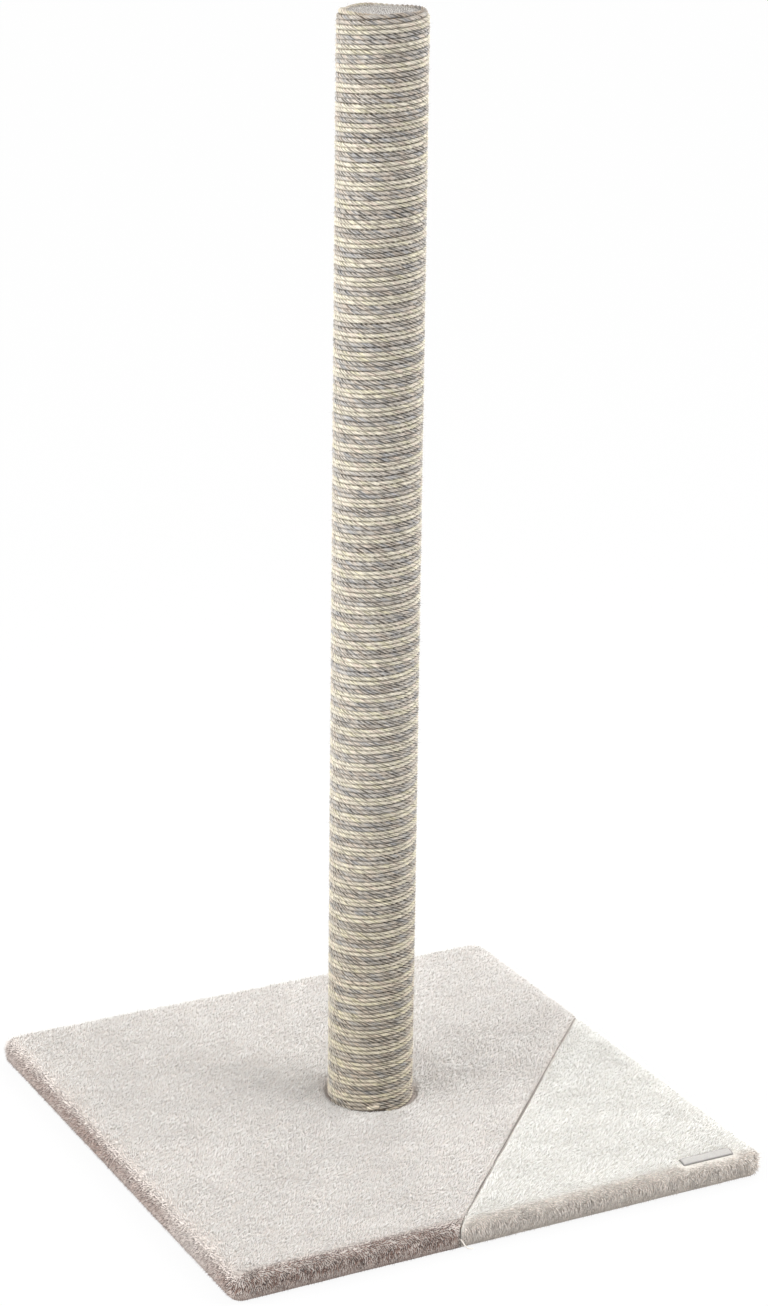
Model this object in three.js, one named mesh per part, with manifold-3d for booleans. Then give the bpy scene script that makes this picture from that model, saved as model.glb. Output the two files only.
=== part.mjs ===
// Cat scratching post: a rope-wound cardboard tube, bolted upright on a square board in sewn plush.
// Millimetres, +Z up. The origin is on the floor, under the middle of the post; the front is -Y.

import * as THREE from 'three';
import { mergeVertices } from 'three/addons/utils/BufferGeometryUtils.js';
import Module from 'manifold-3d';

const wasm = await Module();
wasm.setup();

// ---------------------------------------------------------------- driving dimensions

// gap between any two pieces that touch
const CLEARANCE = 0.3;
// how far a cutting solid runs past the face that it cuts
const OVERCUT = 2;
// how far a wedge from the middle of the base reaches, in half sides
const WEDGE_REACH = 1.1;

// base board
const BOARD_SIDE = 587;
const BOARD_THICKNESS = 18;
const BOARD_CORNER_RADIUS = 5;

// plush over the board, and its margin turned under
const PLUSH_TOP = 6.2;
const PLUSH_SIDE = 6.2;
const PLUSH_HEM = 4.2;
const PLUSH_UNDER_POST = 3;
const HEM_WIDTH = 45;
const BASE_EDGE_RADIUS = 9;
// plan radius of the flat top's corners, inside the rounded edge
const BASE_CORNER_RADIUS = 3;

// cream corner panel: where its seam meets the front and the right side, from their shared corner
const CREAM_ALONG_FRONT = 357;
const CREAM_ALONG_RIGHT = 375;
const SEAM_WIDTH = 1.2;
const SEAM_DEPTH = 1.6;

// label tape, drawn down into the plush behind the front edge of the cream corner
const LABEL_LENGTH = 60;
const LABEL_WIDTH = 10;
const LABEL_THICKNESS = 0.8;
const LABEL_SINK = 0.4;
const LABEL_FROM_CORNER = 62;
// It is bent about a line that lies this far behind the edge's own centre line,
const LABEL_INSET = 8;
// and its middle faces this far up from the front.
const LABEL_TILT = THREE.MathUtils.degToRad(66);

// staples along the turned-under margin
const STAPLE_CROWN = 12;
const STAPLE_LEG = 10;
const STAPLE_WIRE = 1;
const STAPLE_WIRE_WIDTH = 1.2;
const STAPLE_FROM_EDGE = 26;
const STAPLE_SINK = 0.4;

// post: tube and its plugs
const TUBE_LENGTH = 1134;
const TUBE_OUTER_DIAMETER = 80;
const TUBE_WALL = 4;
const BOTTOM_PLUG_HEIGHT = 35;
const TOP_PLUG_HEIGHT = 20;
const CAP_DIAMETER = 85;
const CAP_THICKNESS = 4.6;
const CAP_EDGE_RADIUS = 1.8;

// nails through the tube into its plugs
const NAILS_PER_PLUG = 3;
const NAIL_LENGTH = 22;
const NAIL_DIAMETER = 2;
const NAIL_HEAD_DIAMETER = 5;
const NAIL_HEAD_THICKNESS = 1;
const NAIL_SINK = 0.4;

// M8 bolt, its washer and its threaded insert
const BOLT_DIAMETER = 8;
const BOLT_LENGTH = 45;
const BOLT_HEAD_ACROSS_FLATS = 13;
const BOLT_HEAD_HEIGHT = 5.3;
const WASHER_DIAMETER = 24;
const WASHER_THICKNESS = 2;
const COUNTERBORE_DEPTH = 9;
const INSERT_WALL = 2;
const INSERT_LENGTH = 25;
const INSERT_FLANGE_DIAMETER = 19;
const INSERT_FLANGE_THICKNESS = 1.5;

// rope
const ROPE_DIAMETER = 4.7;
const ROPE_GAP = 0.55;
const ROPE_SIDES = 6;
const STEPS_PER_TURN = 24;
const TURNS_AT_EACH_END = 3;
const ROPE_ORDER = ['grey_1', 'grey_2', 'cream_1', 'cream_2'];
// where the first rope starts, counter-clockwise from +X: at the front of the foot
const FIRST_ROPE_ANGLE = THREE.MathUtils.degToRad(-85);

// sides of the round pieces
const TUBE_SIDES = 48;
const SMALL_SIDES = 20;

// ---------------------------------------------------------------- sizes that follow

// heights, from the floor up
const boardBottom = PLUSH_HEM + CLEARANCE;
const boardTop = boardBottom + BOARD_THICKNESS;
const pocketTop = boardTop + CLEARANCE;
const baseTop = pocketTop + PLUSH_TOP;
const postFoot = pocketTop + PLUSH_UNDER_POST + CLEARANCE;
const tubeTop = postFoot + TUBE_LENGTH;

const baseSide = BOARD_SIDE + 2 * (PLUSH_SIDE + CLEARANCE);
const baseHalf = baseSide / 2;
const tubeRadius = TUBE_OUTER_DIAMETER / 2;
const tubeBore = tubeRadius - TUBE_WALL;
const boltHoleRadius = BOLT_DIAMETER / 2 + CLEARANCE;
const counterboreTop = boardBottom + COUNTERBORE_DEPTH;

// The rope's section has a corner inwards, one outwards, and flats towards its neighbours.
const ropeHalfWidth = (ROPE_DIAMETER / 2) * Math.cos(Math.PI / ROPE_SIDES);
const ropePitch = 2 * ropeHalfWidth + ROPE_GAP;
const ropeLead = ROPE_ORDER.length * ropePitch;
const ropeInnerRadius = (tubeRadius + CLEARANCE) / Math.cos(Math.PI / STEPS_PER_TURN);
const ropeCentreRadius = ropeInnerRadius + ROPE_DIAMETER / 2;
const ropeFoot = baseTop + CLEARANCE + ropeHalfWidth;
const ropeHead = tubeTop - ropeHalfWidth;

// ---------------------------------------------------------------- materials

const fabric = (color) => new THREE.MeshStandardMaterial({ color, roughness: 0.95, metalness: 0 });
const steel = (color) => new THREE.MeshStandardMaterial({ color, roughness: 0.35, metalness: 0.9 });

const materials = {
  beigePlush: fabric(0xcfc6bf),
  creamPlush: fabric(0xf0ece3),
  seam: fabric(0x9d948c),
  label: fabric(0xb4b1ac),
  greyRope: fabric(0x9a9d9c),
  creamRope: fabric(0xdcd3bb),
  ropeLayer: fabric(0xbbb8ac),
  capPlush: fabric(0xb9b4b0),
  chipboard: new THREE.MeshStandardMaterial({ color: 0xb89c74, roughness: 0.85, metalness: 0 }),
  wood: new THREE.MeshStandardMaterial({ color: 0xcbab7e, roughness: 0.8, metalness: 0 }),
  cardboard: new THREE.MeshStandardMaterial({ color: 0x9c8262, roughness: 0.95, metalness: 0 }),
  zinc: steel(0xb9bcc0),
  staple: steel(0xc8c8c6),
};

// ---------------------------------------------------------------- solids: join, cut and place

function toSolid(geometry) {
  const bare = new THREE.BufferGeometry();
  bare.setAttribute('position', geometry.getAttribute('position'));
  bare.setIndex(geometry.getIndex());
  const merged = mergeVertices(bare, 1e-4);
  const corners = merged.getIndex().array;
  // a profile that ends on its axis leaves triangles with no area there
  const triangles = [];
  for (let first = 0; first < corners.length; first += 3) {
    const [a, b, c] = corners.slice(first, first + 3);
    if (a !== b && b !== c && c !== a) triangles.push(a, b, c);
  }
  return new wasm.Manifold(new wasm.Mesh({
    numProp: 3,
    vertProperties: new Float32Array(merged.getAttribute('position').array),
    triVerts: new Uint32Array(triangles),
  }));
}

function toGeometry(solid) {
  const mesh = solid.getMesh();
  const geometry = new THREE.BufferGeometry();
  geometry.setAttribute('position', new THREE.BufferAttribute(mesh.vertProperties, 3));
  geometry.setIndex(new THREE.BufferAttribute(mesh.triVerts, 1));
  geometry.computeVertexNormals();
  return geometry;
}

function cut(solid, ...cutters) {
  return cutters.reduce((rest, cutter) => rest.subtract(cutter), solid);
}

const post = new THREE.Group();

function addPiece(name, solidOrGeometry, material) {
  const geometry = solidOrGeometry.isBufferGeometry ? solidOrGeometry : toGeometry(solidOrGeometry);
  const piece = new THREE.Mesh(geometry, material);
  piece.name = name;
  post.add(piece);
}

// ---------------------------------------------------------------- shapes

// upright prism over an outline in XY
function prism(points, bottom, top) {
  const outline = new THREE.Shape(points.map(([x, y]) => new THREE.Vector2(x, y)));
  return new THREE.ExtrudeGeometry(outline, { depth: top - bottom, bevelEnabled: false })
    .translate(0, 0, bottom);
}

function roundedSquare(side, radius) {
  const half = side / 2;
  const inner = half - radius;
  const outline = new THREE.Shape();
  outline.absarc(inner, -inner, radius, -Math.PI / 2, 0);
  outline.absarc(inner, inner, radius, 0, Math.PI / 2);
  outline.absarc(-inner, inner, radius, Math.PI / 2, Math.PI);
  outline.absarc(-inner, -inner, radius, Math.PI, 1.5 * Math.PI);
  outline.closePath();
  return outline;
}

// upright slab with round corners in plan, square at its top and bottom edges
function squareSlab(side, radius, bottom, top) {
  return new THREE.ExtrudeGeometry(roundedSquare(side, radius), {
    depth: top - bottom,
    bevelEnabled: false,
    curveSegments: 4,
  }).translate(0, 0, bottom);
}

// the same slab with its top and bottom edges rounded as well
function paddedSlab(side, cornerRadius, edgeRadius, bottom, top) {
  return new THREE.ExtrudeGeometry(roundedSquare(side - 2 * edgeRadius, cornerRadius), {
    depth: top - bottom - 2 * edgeRadius,
    bevelThickness: edgeRadius,
    bevelSize: edgeRadius,
    bevelSegments: 5,
    curveSegments: 4,
  }).translate(0, 0, bottom + edgeRadius);
}

// solid of revolution about Z, from a closed profile of [radius, height] points
function revolve(profile, sides) {
  const closed = [...profile, profile[0]];
  return new THREE.LatheGeometry(closed.map(([r, z]) => new THREE.Vector2(r, z)), sides)
    .rotateX(Math.PI / 2);
}

function disc(radius, bottom, top, sides = SMALL_SIDES) {
  return new THREE.CylinderGeometry(radius, radius, top - bottom, sides)
    .rotateX(Math.PI / 2)
    .translate(0, 0, (bottom + top) / 2);
}

function ring(innerRadius, outerRadius, bottom, top, sides = SMALL_SIDES) {
  return revolve([
    [innerRadius, bottom],
    [outerRadius, bottom],
    [outerRadius, top],
    [innerRadius, top],
  ], sides);
}

// ---------------------------------------------------------------- plush cover and board

// One padded body, as the covered board looks from outside; the cover's pieces are cut from it.
const paddedBody = toSolid(paddedSlab(baseSide, BASE_CORNER_RADIUS, BASE_EDGE_RADIUS, 0, baseTop));
const aboveHem = toSolid(squareSlab(baseSide + OVERCUT, BASE_CORNER_RADIUS, boardBottom, baseTop + OVERCUT));
const boardPocket = toSolid(squareSlab(
  BOARD_SIDE + 2 * CLEARANCE,
  BOARD_CORNER_RADIUS + CLEARANCE,
  boardBottom - OVERCUT,
  pocketTop,
));
const postRecess = toSolid(disc(tubeRadius + CLEARANCE, postFoot - CLEARANCE, baseTop + OVERCUT, TUBE_SIDES));
const boltHole = toSolid(disc(boltHoleRadius, -OVERCUT, baseTop + OVERCUT));

// The seam runs straight over the top, from the front edge to the right one.
const seamFront = new THREE.Vector2(baseHalf - CREAM_ALONG_FRONT, -baseHalf);
const seamRight = new THREE.Vector2(baseHalf, CREAM_ALONG_RIGHT - baseHalf);

// upright wall along the seam, as thick as asked, from one height to another
function seamWall(thickness, bottom, top) {
  const along = seamRight.clone().sub(seamFront).normalize();
  const across = new THREE.Vector2(-along.y, along.x).multiplyScalar(thickness / 2);
  const start = seamFront.clone().addScaledVector(along, -baseHalf);
  const end = seamRight.clone().addScaledVector(along, baseHalf);
  return toSolid(prism([
    [start.x - across.x, start.y - across.y],
    [end.x - across.x, end.y - across.y],
    [end.x + across.x, end.y + across.y],
    [start.x + across.x, start.y + across.y],
  ], bottom, top));
}

const creamSide = toSolid(prism([
  [seamFront.x, seamFront.y],
  [seamFront.x, -2 * baseSide],
  [2 * baseSide, -2 * baseSide],
  [2 * baseSide, seamRight.y],
  [seamRight.x, seamRight.y],
], -OVERCUT, baseTop + OVERCUT));

function addCover() {
  const seamSlot = seamWall(SEAM_WIDTH + 2 * CLEARANCE, -OVERCUT, baseTop + OVERCUT);
  const shell = cut(paddedBody.intersect(aboveHem), boardPocket, postRecess, boltHole, seamSlot);
  const labelRadius = BASE_EDGE_RADIUS - LABEL_SINK;
  const labelPocket = toSolid(labelStrip(
    labelRadius - LABEL_THICKNESS - CLEARANCE,
    BASE_EDGE_RADIUS + OVERCUT,
    CLEARANCE,
  ));
  addPiece('cover_beige', shell.subtract(creamSide), materials.beigePlush);
  addPiece('cover_cream', shell.intersect(creamSide).subtract(labelPocket), materials.creamPlush);
  addPiece('label_tape', labelStrip(labelRadius - LABEL_THICKNESS, labelRadius, 0), materials.label);

  // the sewn edges of the two panels, drawn down between them to the board
  const sunkBody = toSolid(paddedSlab(
    baseSide - 2 * SEAM_DEPTH,
    BASE_CORNER_RADIUS,
    BASE_EDGE_RADIUS,
    SEAM_DEPTH,
    baseTop - SEAM_DEPTH,
  ));
  const seam = seamWall(SEAM_WIDTH, boardBottom, baseTop).intersect(sunkBody).subtract(boardPocket);
  addPiece('sewn_seam', seam, materials.seam);
}

// strip of tape bent as the edge is, between two radii, and set back from it
function labelStrip(innerRadius, outerRadius, margin) {
  const spread = (LABEL_WIDTH / 2 + margin) / BASE_EDGE_RADIUS;
  const outline = new THREE.Shape();
  outline.absarc(0, 0, outerRadius, LABEL_TILT - spread, LABEL_TILT + spread);
  outline.absarc(0, 0, innerRadius, LABEL_TILT + spread, LABEL_TILT - spread, true);
  const length = LABEL_LENGTH + 2 * margin;
  return new THREE.ExtrudeGeometry(outline, { depth: length, bevelEnabled: false, curveSegments: 6 })
    .rotateY(-Math.PI / 2)
    .rotateX(Math.PI / 2)
    .translate(
      baseHalf - LABEL_FROM_CORNER + length / 2,
      -baseHalf + BASE_EDGE_RADIUS + LABEL_INSET,
      baseTop - BASE_EDGE_RADIUS,
    );
}

// The margin under the board: six strips, mitred at the corners and parted at the seam.
// Each runs from one point to the next along the base's edge, and holds its own staples.
const corner = {
  backLeft: new THREE.Vector2(-baseHalf, baseHalf),
  backRight: new THREE.Vector2(baseHalf, baseHalf),
  frontRight: new THREE.Vector2(baseHalf, -baseHalf),
  frontLeft: new THREE.Vector2(-baseHalf, -baseHalf),
};
const hemStrips = [
  { name: 'hem_left', from: corner.frontLeft, to: corner.backLeft, staples: 6 },
  { name: 'hem_back', from: corner.backLeft, to: corner.backRight, staples: 6 },
  { name: 'hem_right_beige', from: corner.backRight, to: seamRight, staples: 2 },
  { name: 'hem_right_cream', from: seamRight, to: corner.frontRight, staples: 4 },
  { name: 'hem_front_cream', from: corner.frontRight, to: seamFront, staples: 4 },
  { name: 'hem_front_beige', from: seamFront, to: corner.frontLeft, staples: 2 },
];

// U-shaped wire, its crown down and its legs up; `grow` widens it all round for its hole
function stapleShape(grow) {
  const half = STAPLE_CROWN / 2 + grow;
  const inner = STAPLE_CROWN / 2 - STAPLE_WIRE - grow;
  const tip = STAPLE_LEG + grow;
  const crownTop = STAPLE_WIRE + grow;
  const crownBottom = grow > 0 ? -STAPLE_SINK - OVERCUT : 0;
  const outline = new THREE.Shape([
    [-half, crownBottom], [half, crownBottom], [half, tip], [inner, tip],
    [inner, crownTop], [-inner, crownTop], [-inner, tip], [-half, tip],
  ].map(([x, y]) => new THREE.Vector2(x, y)));
  const width = STAPLE_WIRE_WIDTH + 2 * grow;
  return new THREE.ExtrudeGeometry(outline, { depth: width, bevelEnabled: false })
    .translate(0, 0, -width / 2)
    .rotateX(Math.PI / 2);
}

// places of a strip's staples: evenly along it, a fixed way in from the edge
function staplePlaces(strip) {
  const along = strip.to.clone().sub(strip.from);
  const direction = along.clone().normalize();
  const inward = new THREE.Vector2(direction.y, -direction.x);
  return Array.from({ length: strip.staples }, (_, index) => {
    const point = strip.from.clone()
      .addScaledVector(along, (index + 0.5) / strip.staples)
      .addScaledVector(inward, STAPLE_FROM_EDGE);
    return new THREE.Matrix4()
      .makeRotationZ(Math.atan2(direction.y, direction.x))
      .setPosition(point.x, point.y, STAPLE_SINK);
  });
}

function addHemAndBoard() {
  const belowBoard = toSolid(squareSlab(baseSide + OVERCUT, BASE_CORNER_RADIUS, -OVERCUT, PLUSH_HEM));
  const window = toSolid(squareSlab(
    baseSide - 2 * HEM_WIDTH,
    BASE_CORNER_RADIUS,
    -OVERCUT,
    PLUSH_HEM + OVERCUT,
  ));
  const hemRing = paddedBody.intersect(belowBoard).subtract(window);
  let board = cut(
    toSolid(squareSlab(BOARD_SIDE, BOARD_CORNER_RADIUS, boardBottom, boardTop)),
    boltHole,
    toSolid(disc(WASHER_DIAMETER / 2 + CLEARANCE, boardBottom - OVERCUT, counterboreTop)),
  );
  let stapleNumber = 0;
  for (const strip of hemStrips) {
    // a wedge from the middle of the base out past this strip's edge, trimmed clear of the next strip
    const along = strip.to.clone().sub(strip.from).normalize();
    const start = strip.from.clone().addScaledVector(along, CLEARANCE).multiplyScalar(WEDGE_REACH);
    const end = strip.to.clone().addScaledVector(along, -CLEARANCE).multiplyScalar(WEDGE_REACH);
    let hem = hemRing.intersect(toSolid(prism([
      [-CLEARANCE * along.y, CLEARANCE * along.x],
      [start.x, start.y],
      [end.x, end.y],
    ], -OVERCUT, PLUSH_HEM + OVERCUT)));
    for (const place of staplePlaces(strip)) {
      const hole = toSolid(stapleShape(CLEARANCE).applyMatrix4(place));
      hem = hem.subtract(hole);
      board = board.subtract(hole);
      stapleNumber += 1;
      const name = `staple_${String(stapleNumber).padStart(2, '0')}`;
      addPiece(name, stapleShape(0).applyMatrix4(place), materials.staple);
    }
    const isCream = strip.name.endsWith('cream');
    addPiece(strip.name, hem, isCream ? materials.creamPlush : materials.beigePlush);
  }
  addPiece('base_board', board, materials.chipboard);
}

// ---------------------------------------------------------------- tube, plugs and bolt

// nail with its axis along +Z and its head's outer face at the origin
function nailShape(grow, headTop) {
  const headBottom = -NAIL_HEAD_THICKNESS - grow;
  const headRadius = NAIL_HEAD_DIAMETER / 2 + grow;
  const shankRadius = NAIL_DIAMETER / 2 + grow;
  return new THREE.LatheGeometry([
    [0, -NAIL_LENGTH - grow],
    [shankRadius, -NAIL_LENGTH + NAIL_DIAMETER],
    [shankRadius, headBottom],
    [headRadius, headBottom],
    [headRadius, headTop],
    [0, headTop],
  ].map(([r, z]) => new THREE.Vector2(r, z)), 12).rotateX(Math.PI / 2);
}

function nailPlaces(height) {
  return Array.from({ length: NAILS_PER_PLUG }, (_, index) => {
    const angle = (2 * Math.PI * index) / NAILS_PER_PLUG;
    return new THREE.Matrix4()
      .makeRotationZ(angle)
      .multiply(new THREE.Matrix4().makeRotationY(Math.PI / 2))
      .setPosition(
        (tubeRadius - NAIL_SINK) * Math.cos(angle),
        (tubeRadius - NAIL_SINK) * Math.sin(angle),
        height,
      );
  });
}

function addPost() {
  const nailMatrices = [
    ...nailPlaces(postFoot + BOTTOM_PLUG_HEIGHT / 2),
    ...nailPlaces(tubeTop - TOP_PLUG_HEIGHT / 2),
  ];
  const nailHoles = nailMatrices.map((place) => toSolid(nailShape(CLEARANCE, OVERCUT).applyMatrix4(place)));
  const plugRadius = tubeBore - CLEARANCE;

  addPiece('post_tube', cut(
    toSolid(ring(tubeBore, tubeRadius, postFoot, tubeTop, TUBE_SIDES)),
    ...nailHoles,
  ), materials.cardboard);
  addPiece('top_plug', cut(
    toSolid(disc(plugRadius, tubeTop - TOP_PLUG_HEIGHT, tubeTop, TUBE_SIDES)),
    ...nailHoles,
  ), materials.wood);

  const insertRadius = boltHoleRadius + INSERT_WALL;
  const flangeRadius = INSERT_FLANGE_DIAMETER / 2;
  const flangeTop = postFoot + INSERT_FLANGE_THICKNESS;
  const insertTop = postFoot + INSERT_LENGTH;
  addPiece('bottom_plug', cut(
    toSolid(disc(plugRadius, postFoot, postFoot + BOTTOM_PLUG_HEIGHT, TUBE_SIDES)),
    toSolid(disc(insertRadius + CLEARANCE, postFoot - OVERCUT, insertTop + CLEARANCE)),
    toSolid(disc(flangeRadius + CLEARANCE, postFoot - OVERCUT, flangeTop + CLEARANCE)),
    toSolid(disc(boltHoleRadius, postFoot - OVERCUT, postFoot + BOTTOM_PLUG_HEIGHT + OVERCUT)),
    ...nailHoles,
  ), materials.wood);
  addPiece('threaded_insert', revolve([
    [boltHoleRadius, postFoot],
    [flangeRadius, postFoot],
    [flangeRadius, flangeTop],
    [insertRadius, flangeTop],
    [insertRadius, insertTop],
    [boltHoleRadius, insertTop],
  ], SMALL_SIDES), materials.zinc);

  nailMatrices.forEach((place, index) => {
    addPiece(`plug_nail_${index + 1}`, nailShape(0, 0).applyMatrix4(place), materials.zinc);
  });

  const capRadius = CAP_DIAMETER / 2;
  const capBottom = tubeTop + CLEARANCE;
  const capTop = capBottom + CAP_THICKNESS;
  const capEdge = new THREE.Path()
    .moveTo(0, capBottom)
    .lineTo(capRadius, capBottom)
    .absarc(capRadius - CAP_EDGE_RADIUS, capTop - CAP_EDGE_RADIUS, CAP_EDGE_RADIUS, 0, Math.PI / 2)
    .lineTo(0, capTop);
  addPiece(
    'top_cap',
    toSolid(new THREE.LatheGeometry(capEdge.getPoints(2), TUBE_SIDES).rotateX(Math.PI / 2)),
    materials.capPlush,
  );
}

function addBolt() {
  const washerTop = counterboreTop - CLEARANCE;
  const washerBottom = washerTop - WASHER_THICKNESS;
  addPiece(
    'base_washer',
    ring(boltHoleRadius, WASHER_DIAMETER / 2, washerBottom, washerTop),
    materials.zinc,
  );
  const headTop = washerBottom - CLEARANCE;
  const headBottom = headTop - BOLT_HEAD_HEIGHT;
  const headRadius = BOLT_HEAD_ACROSS_FLATS / 2 / Math.cos(Math.PI / 6);
  const head = toSolid(disc(headRadius, headBottom, headTop, 6));
  const shank = toSolid(disc(BOLT_DIAMETER / 2, headBottom, headTop + BOLT_LENGTH));
  addPiece('base_bolt', head.add(shank), materials.zinc);
}

// ---------------------------------------------------------------- rope

// centre line of the rope that starts at `startAngle`, at a height above the foot of the winding
function ropePoint(startAngle, height) {
  const angle = startAngle + (2 * Math.PI * (height - ropeFoot)) / ropeLead;
  return new THREE.Vector3(
    ropeCentreRadius * Math.cos(angle),
    ropeCentreRadius * Math.sin(angle),
    height,
  );
}

// one unbroken tube round the post, a fixed number of steps to the turn, closed at both ends
function woundRope(startAngle, fromHeight, turns) {
  const steps = turns * STEPS_PER_TURN;
  const positions = [];
  const index = [];
  for (let step = 0; step <= steps; step += 1) {
    const centre = ropePoint(startAngle, fromHeight + (ropeLead * step) / STEPS_PER_TURN);
    const outward = new THREE.Vector3(centre.x, centre.y, 0).normalize();
    for (let side = 0; side < ROPE_SIDES; side += 1) {
      const turn = (2 * Math.PI * side) / ROPE_SIDES;
      const point = centre.clone().addScaledVector(outward, (Math.cos(turn) * ROPE_DIAMETER) / 2);
      point.z += (Math.sin(turn) * ROPE_DIAMETER) / 2;
      positions.push(point.x, point.y, point.z);
    }
  }
  for (let step = 0; step < steps; step += 1) {
    for (let side = 0; side < ROPE_SIDES; side += 1) {
      const here = step * ROPE_SIDES + side;
      const next = step * ROPE_SIDES + ((side + 1) % ROPE_SIDES);
      index.push(here, here + ROPE_SIDES, next, next, here + ROPE_SIDES, next + ROPE_SIDES);
    }
  }
  const last = steps * ROPE_SIDES;
  for (let side = 1; side < ROPE_SIDES - 1; side += 1) {
    index.push(0, side, side + 1);
    index.push(last, last + side + 1, last + side);
  }
  const geometry = new THREE.BufferGeometry();
  geometry.setAttribute('position', new THREE.Float32BufferAttribute(positions, 3));
  geometry.setIndex(index);
  geometry.computeVertexNormals();
  return geometry;
}

// Least distance between the surfaces of two stretches of winding, on points of their centre lines.
// A rope is compared with itself only where it has gone at least half a turn further.
function leastGap(angleA, angleB, turns) {
  const samples = turns * STEPS_PER_TURN;
  let least = Infinity;
  for (let a = 0; a <= samples; a += 1) {
    const pointA = ropePoint(angleA, ropeFoot + (ropeLead * a) / STEPS_PER_TURN);
    for (let b = 0; b <= samples; b += 1) {
      if (angleA === angleB && Math.abs(a - b) < STEPS_PER_TURN / 2) continue;
      const pointB = ropePoint(angleB, ropeFoot + (ropeLead * b) / STEPS_PER_TURN);
      least = Math.min(least, pointA.distanceTo(pointB) - 2 * ropeHalfWidth);
    }
  }
  return least;
}

// The four ropes lie side by side, a quarter turn apart, and climb together. Their first and last
// turns are wound; between those the layer is its plain outer shape, as a drawing shows a long spring.
function addRopes() {
  const quarter = (2 * Math.PI) / ROPE_ORDER.length;
  const startAngles = ROPE_ORDER.map((_, index) => FIRST_ROPE_ANGLE - index * quarter);
  const woundHeight = TURNS_AT_EACH_END * ropeLead;
  ROPE_ORDER.forEach((rope, index) => {
    const material = rope.startsWith('grey') ? materials.greyRope : materials.creamRope;
    const startAngle = startAngles[index];
    addPiece(`rope_${rope}_foot`, woundRope(startAngle, ropeFoot, TURNS_AT_EACH_END), material);
    addPiece(
      `rope_${rope}_head`,
      woundRope(startAngle, ropeHead - woundHeight, TURNS_AT_EACH_END),
      material,
    );
  });
  addPiece('rope_layer', ring(
    tubeRadius + CLEARANCE,
    tubeRadius + CLEARANCE + ROPE_DIAMETER,
    ropeFoot + woundHeight + ropeHalfWidth + ROPE_GAP,
    ropeHead - woundHeight - ropeHalfWidth - ROPE_GAP,
    TUBE_SIDES,
  ), materials.ropeLayer);

  const own = leastGap(startAngles[0], startAngles[0], TURNS_AT_EACH_END);
  const neighbour = leastGap(startAngles[0], startAngles[1], TURNS_AT_EACH_END);
  console.log(`rope: least gap to itself ${own.toFixed(2)} mm, to its neighbour ${neighbour.toFixed(2)} mm`);
}

addCover();
addHemAndBoard();
addBolt();
addPost();
addRopes();

export default post;
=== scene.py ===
# Cat scratching post: a tall post wound with two-colour rope on a square board in sewn plush.
# Metres, +Z up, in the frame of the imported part. Sections follow the order in which the post is made.

import math

import bmesh
import bpy
import numpy as np
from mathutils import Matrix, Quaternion, Vector, noise


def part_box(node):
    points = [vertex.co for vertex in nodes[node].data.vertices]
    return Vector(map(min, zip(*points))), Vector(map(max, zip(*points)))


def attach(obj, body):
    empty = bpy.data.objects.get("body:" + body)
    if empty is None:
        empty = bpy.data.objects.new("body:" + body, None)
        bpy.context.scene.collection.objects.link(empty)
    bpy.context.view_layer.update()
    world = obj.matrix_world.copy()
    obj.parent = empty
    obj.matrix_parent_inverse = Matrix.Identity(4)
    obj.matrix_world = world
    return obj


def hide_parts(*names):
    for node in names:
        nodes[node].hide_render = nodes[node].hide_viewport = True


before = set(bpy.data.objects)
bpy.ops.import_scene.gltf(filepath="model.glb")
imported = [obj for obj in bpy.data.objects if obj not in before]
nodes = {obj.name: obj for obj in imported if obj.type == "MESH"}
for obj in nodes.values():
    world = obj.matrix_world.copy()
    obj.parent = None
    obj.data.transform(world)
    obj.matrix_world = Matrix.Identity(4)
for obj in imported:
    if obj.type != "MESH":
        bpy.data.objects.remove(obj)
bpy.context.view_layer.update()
scene = bpy.context.scene


# ---------------------------------------------------------------- the view
# The photograph's view of the post: a long lens from a little above it and to its left, so that
# its sides stay all but parallel.

SENSOR_LONG_SIDE = 36
FOCAL_LENGTH = 90.02
CLIP_DISTANCES = (0.1, 100)
CAMERA_AIM = Vector((0.00781, -0.00411, 0.51884))
CAMERA_AZIMUTH = math.radians(-27.759)
CAMERA_ELEVATION = math.radians(18.433)
CAMERA_ROLL = math.radians(0.7304)
CAMERA_DISTANCE = 3.3068


def new_object(name, data):
    """An object of the data, in the scene."""
    made = bpy.data.objects.new(name, data)
    scene.collection.objects.link(made)
    return made


camera = new_object("camera", bpy.data.cameras.new("camera"))
camera.data.lens = FOCAL_LENGTH
camera.data.sensor_width = SENSOR_LONG_SIDE
camera.data.sensor_fit = "AUTO"
camera.data.clip_start, camera.data.clip_end = CLIP_DISTANCES
towards_camera = Vector((
    math.sin(CAMERA_AZIMUTH) * math.cos(CAMERA_ELEVATION),
    -math.cos(CAMERA_AZIMUTH) * math.cos(CAMERA_ELEVATION),
    math.sin(CAMERA_ELEVATION),
))
camera.rotation_mode = "QUATERNION"
camera.location = CAMERA_AIM + towards_camera * CAMERA_DISTANCE
camera.rotation_quaternion = towards_camera.to_track_quat("Z", "Y") @ Quaternion((0, 0, 1), CAMERA_ROLL)
scene.camera = camera


# ---------------------------------------------------------------- base board
# Raw chipboard, sawn square, with a counterbore underneath for the bolt's washer.
# Only its underside shows, inside the turned-under margin of the plush.

CHIP_LENGTH = 0.0036
CHIP_COLOURS = [(168, 136, 98), (200, 172, 132), (222, 198, 162)]
CHIPS_FLAT = (1, 1, 3)
CHIP_BENDS_PER_METRE = 60.0
CHIP_BEND = 0.012
CHIP_DUST = 0.25
NOISE_ROUGHNESS = 0.55
SHEEN_ROUGHNESS = 0.6


def shade(red, green, blue):
    """A colour given as on a screen, from 0 to 255, in the linear values that nodes take."""
    parts = (value / 255 for value in (red, green, blue))
    return tuple(part / 12.92 if part <= 0.04045 else ((part + 0.055) / 1.055) ** 2.4 for part in parts)


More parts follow.
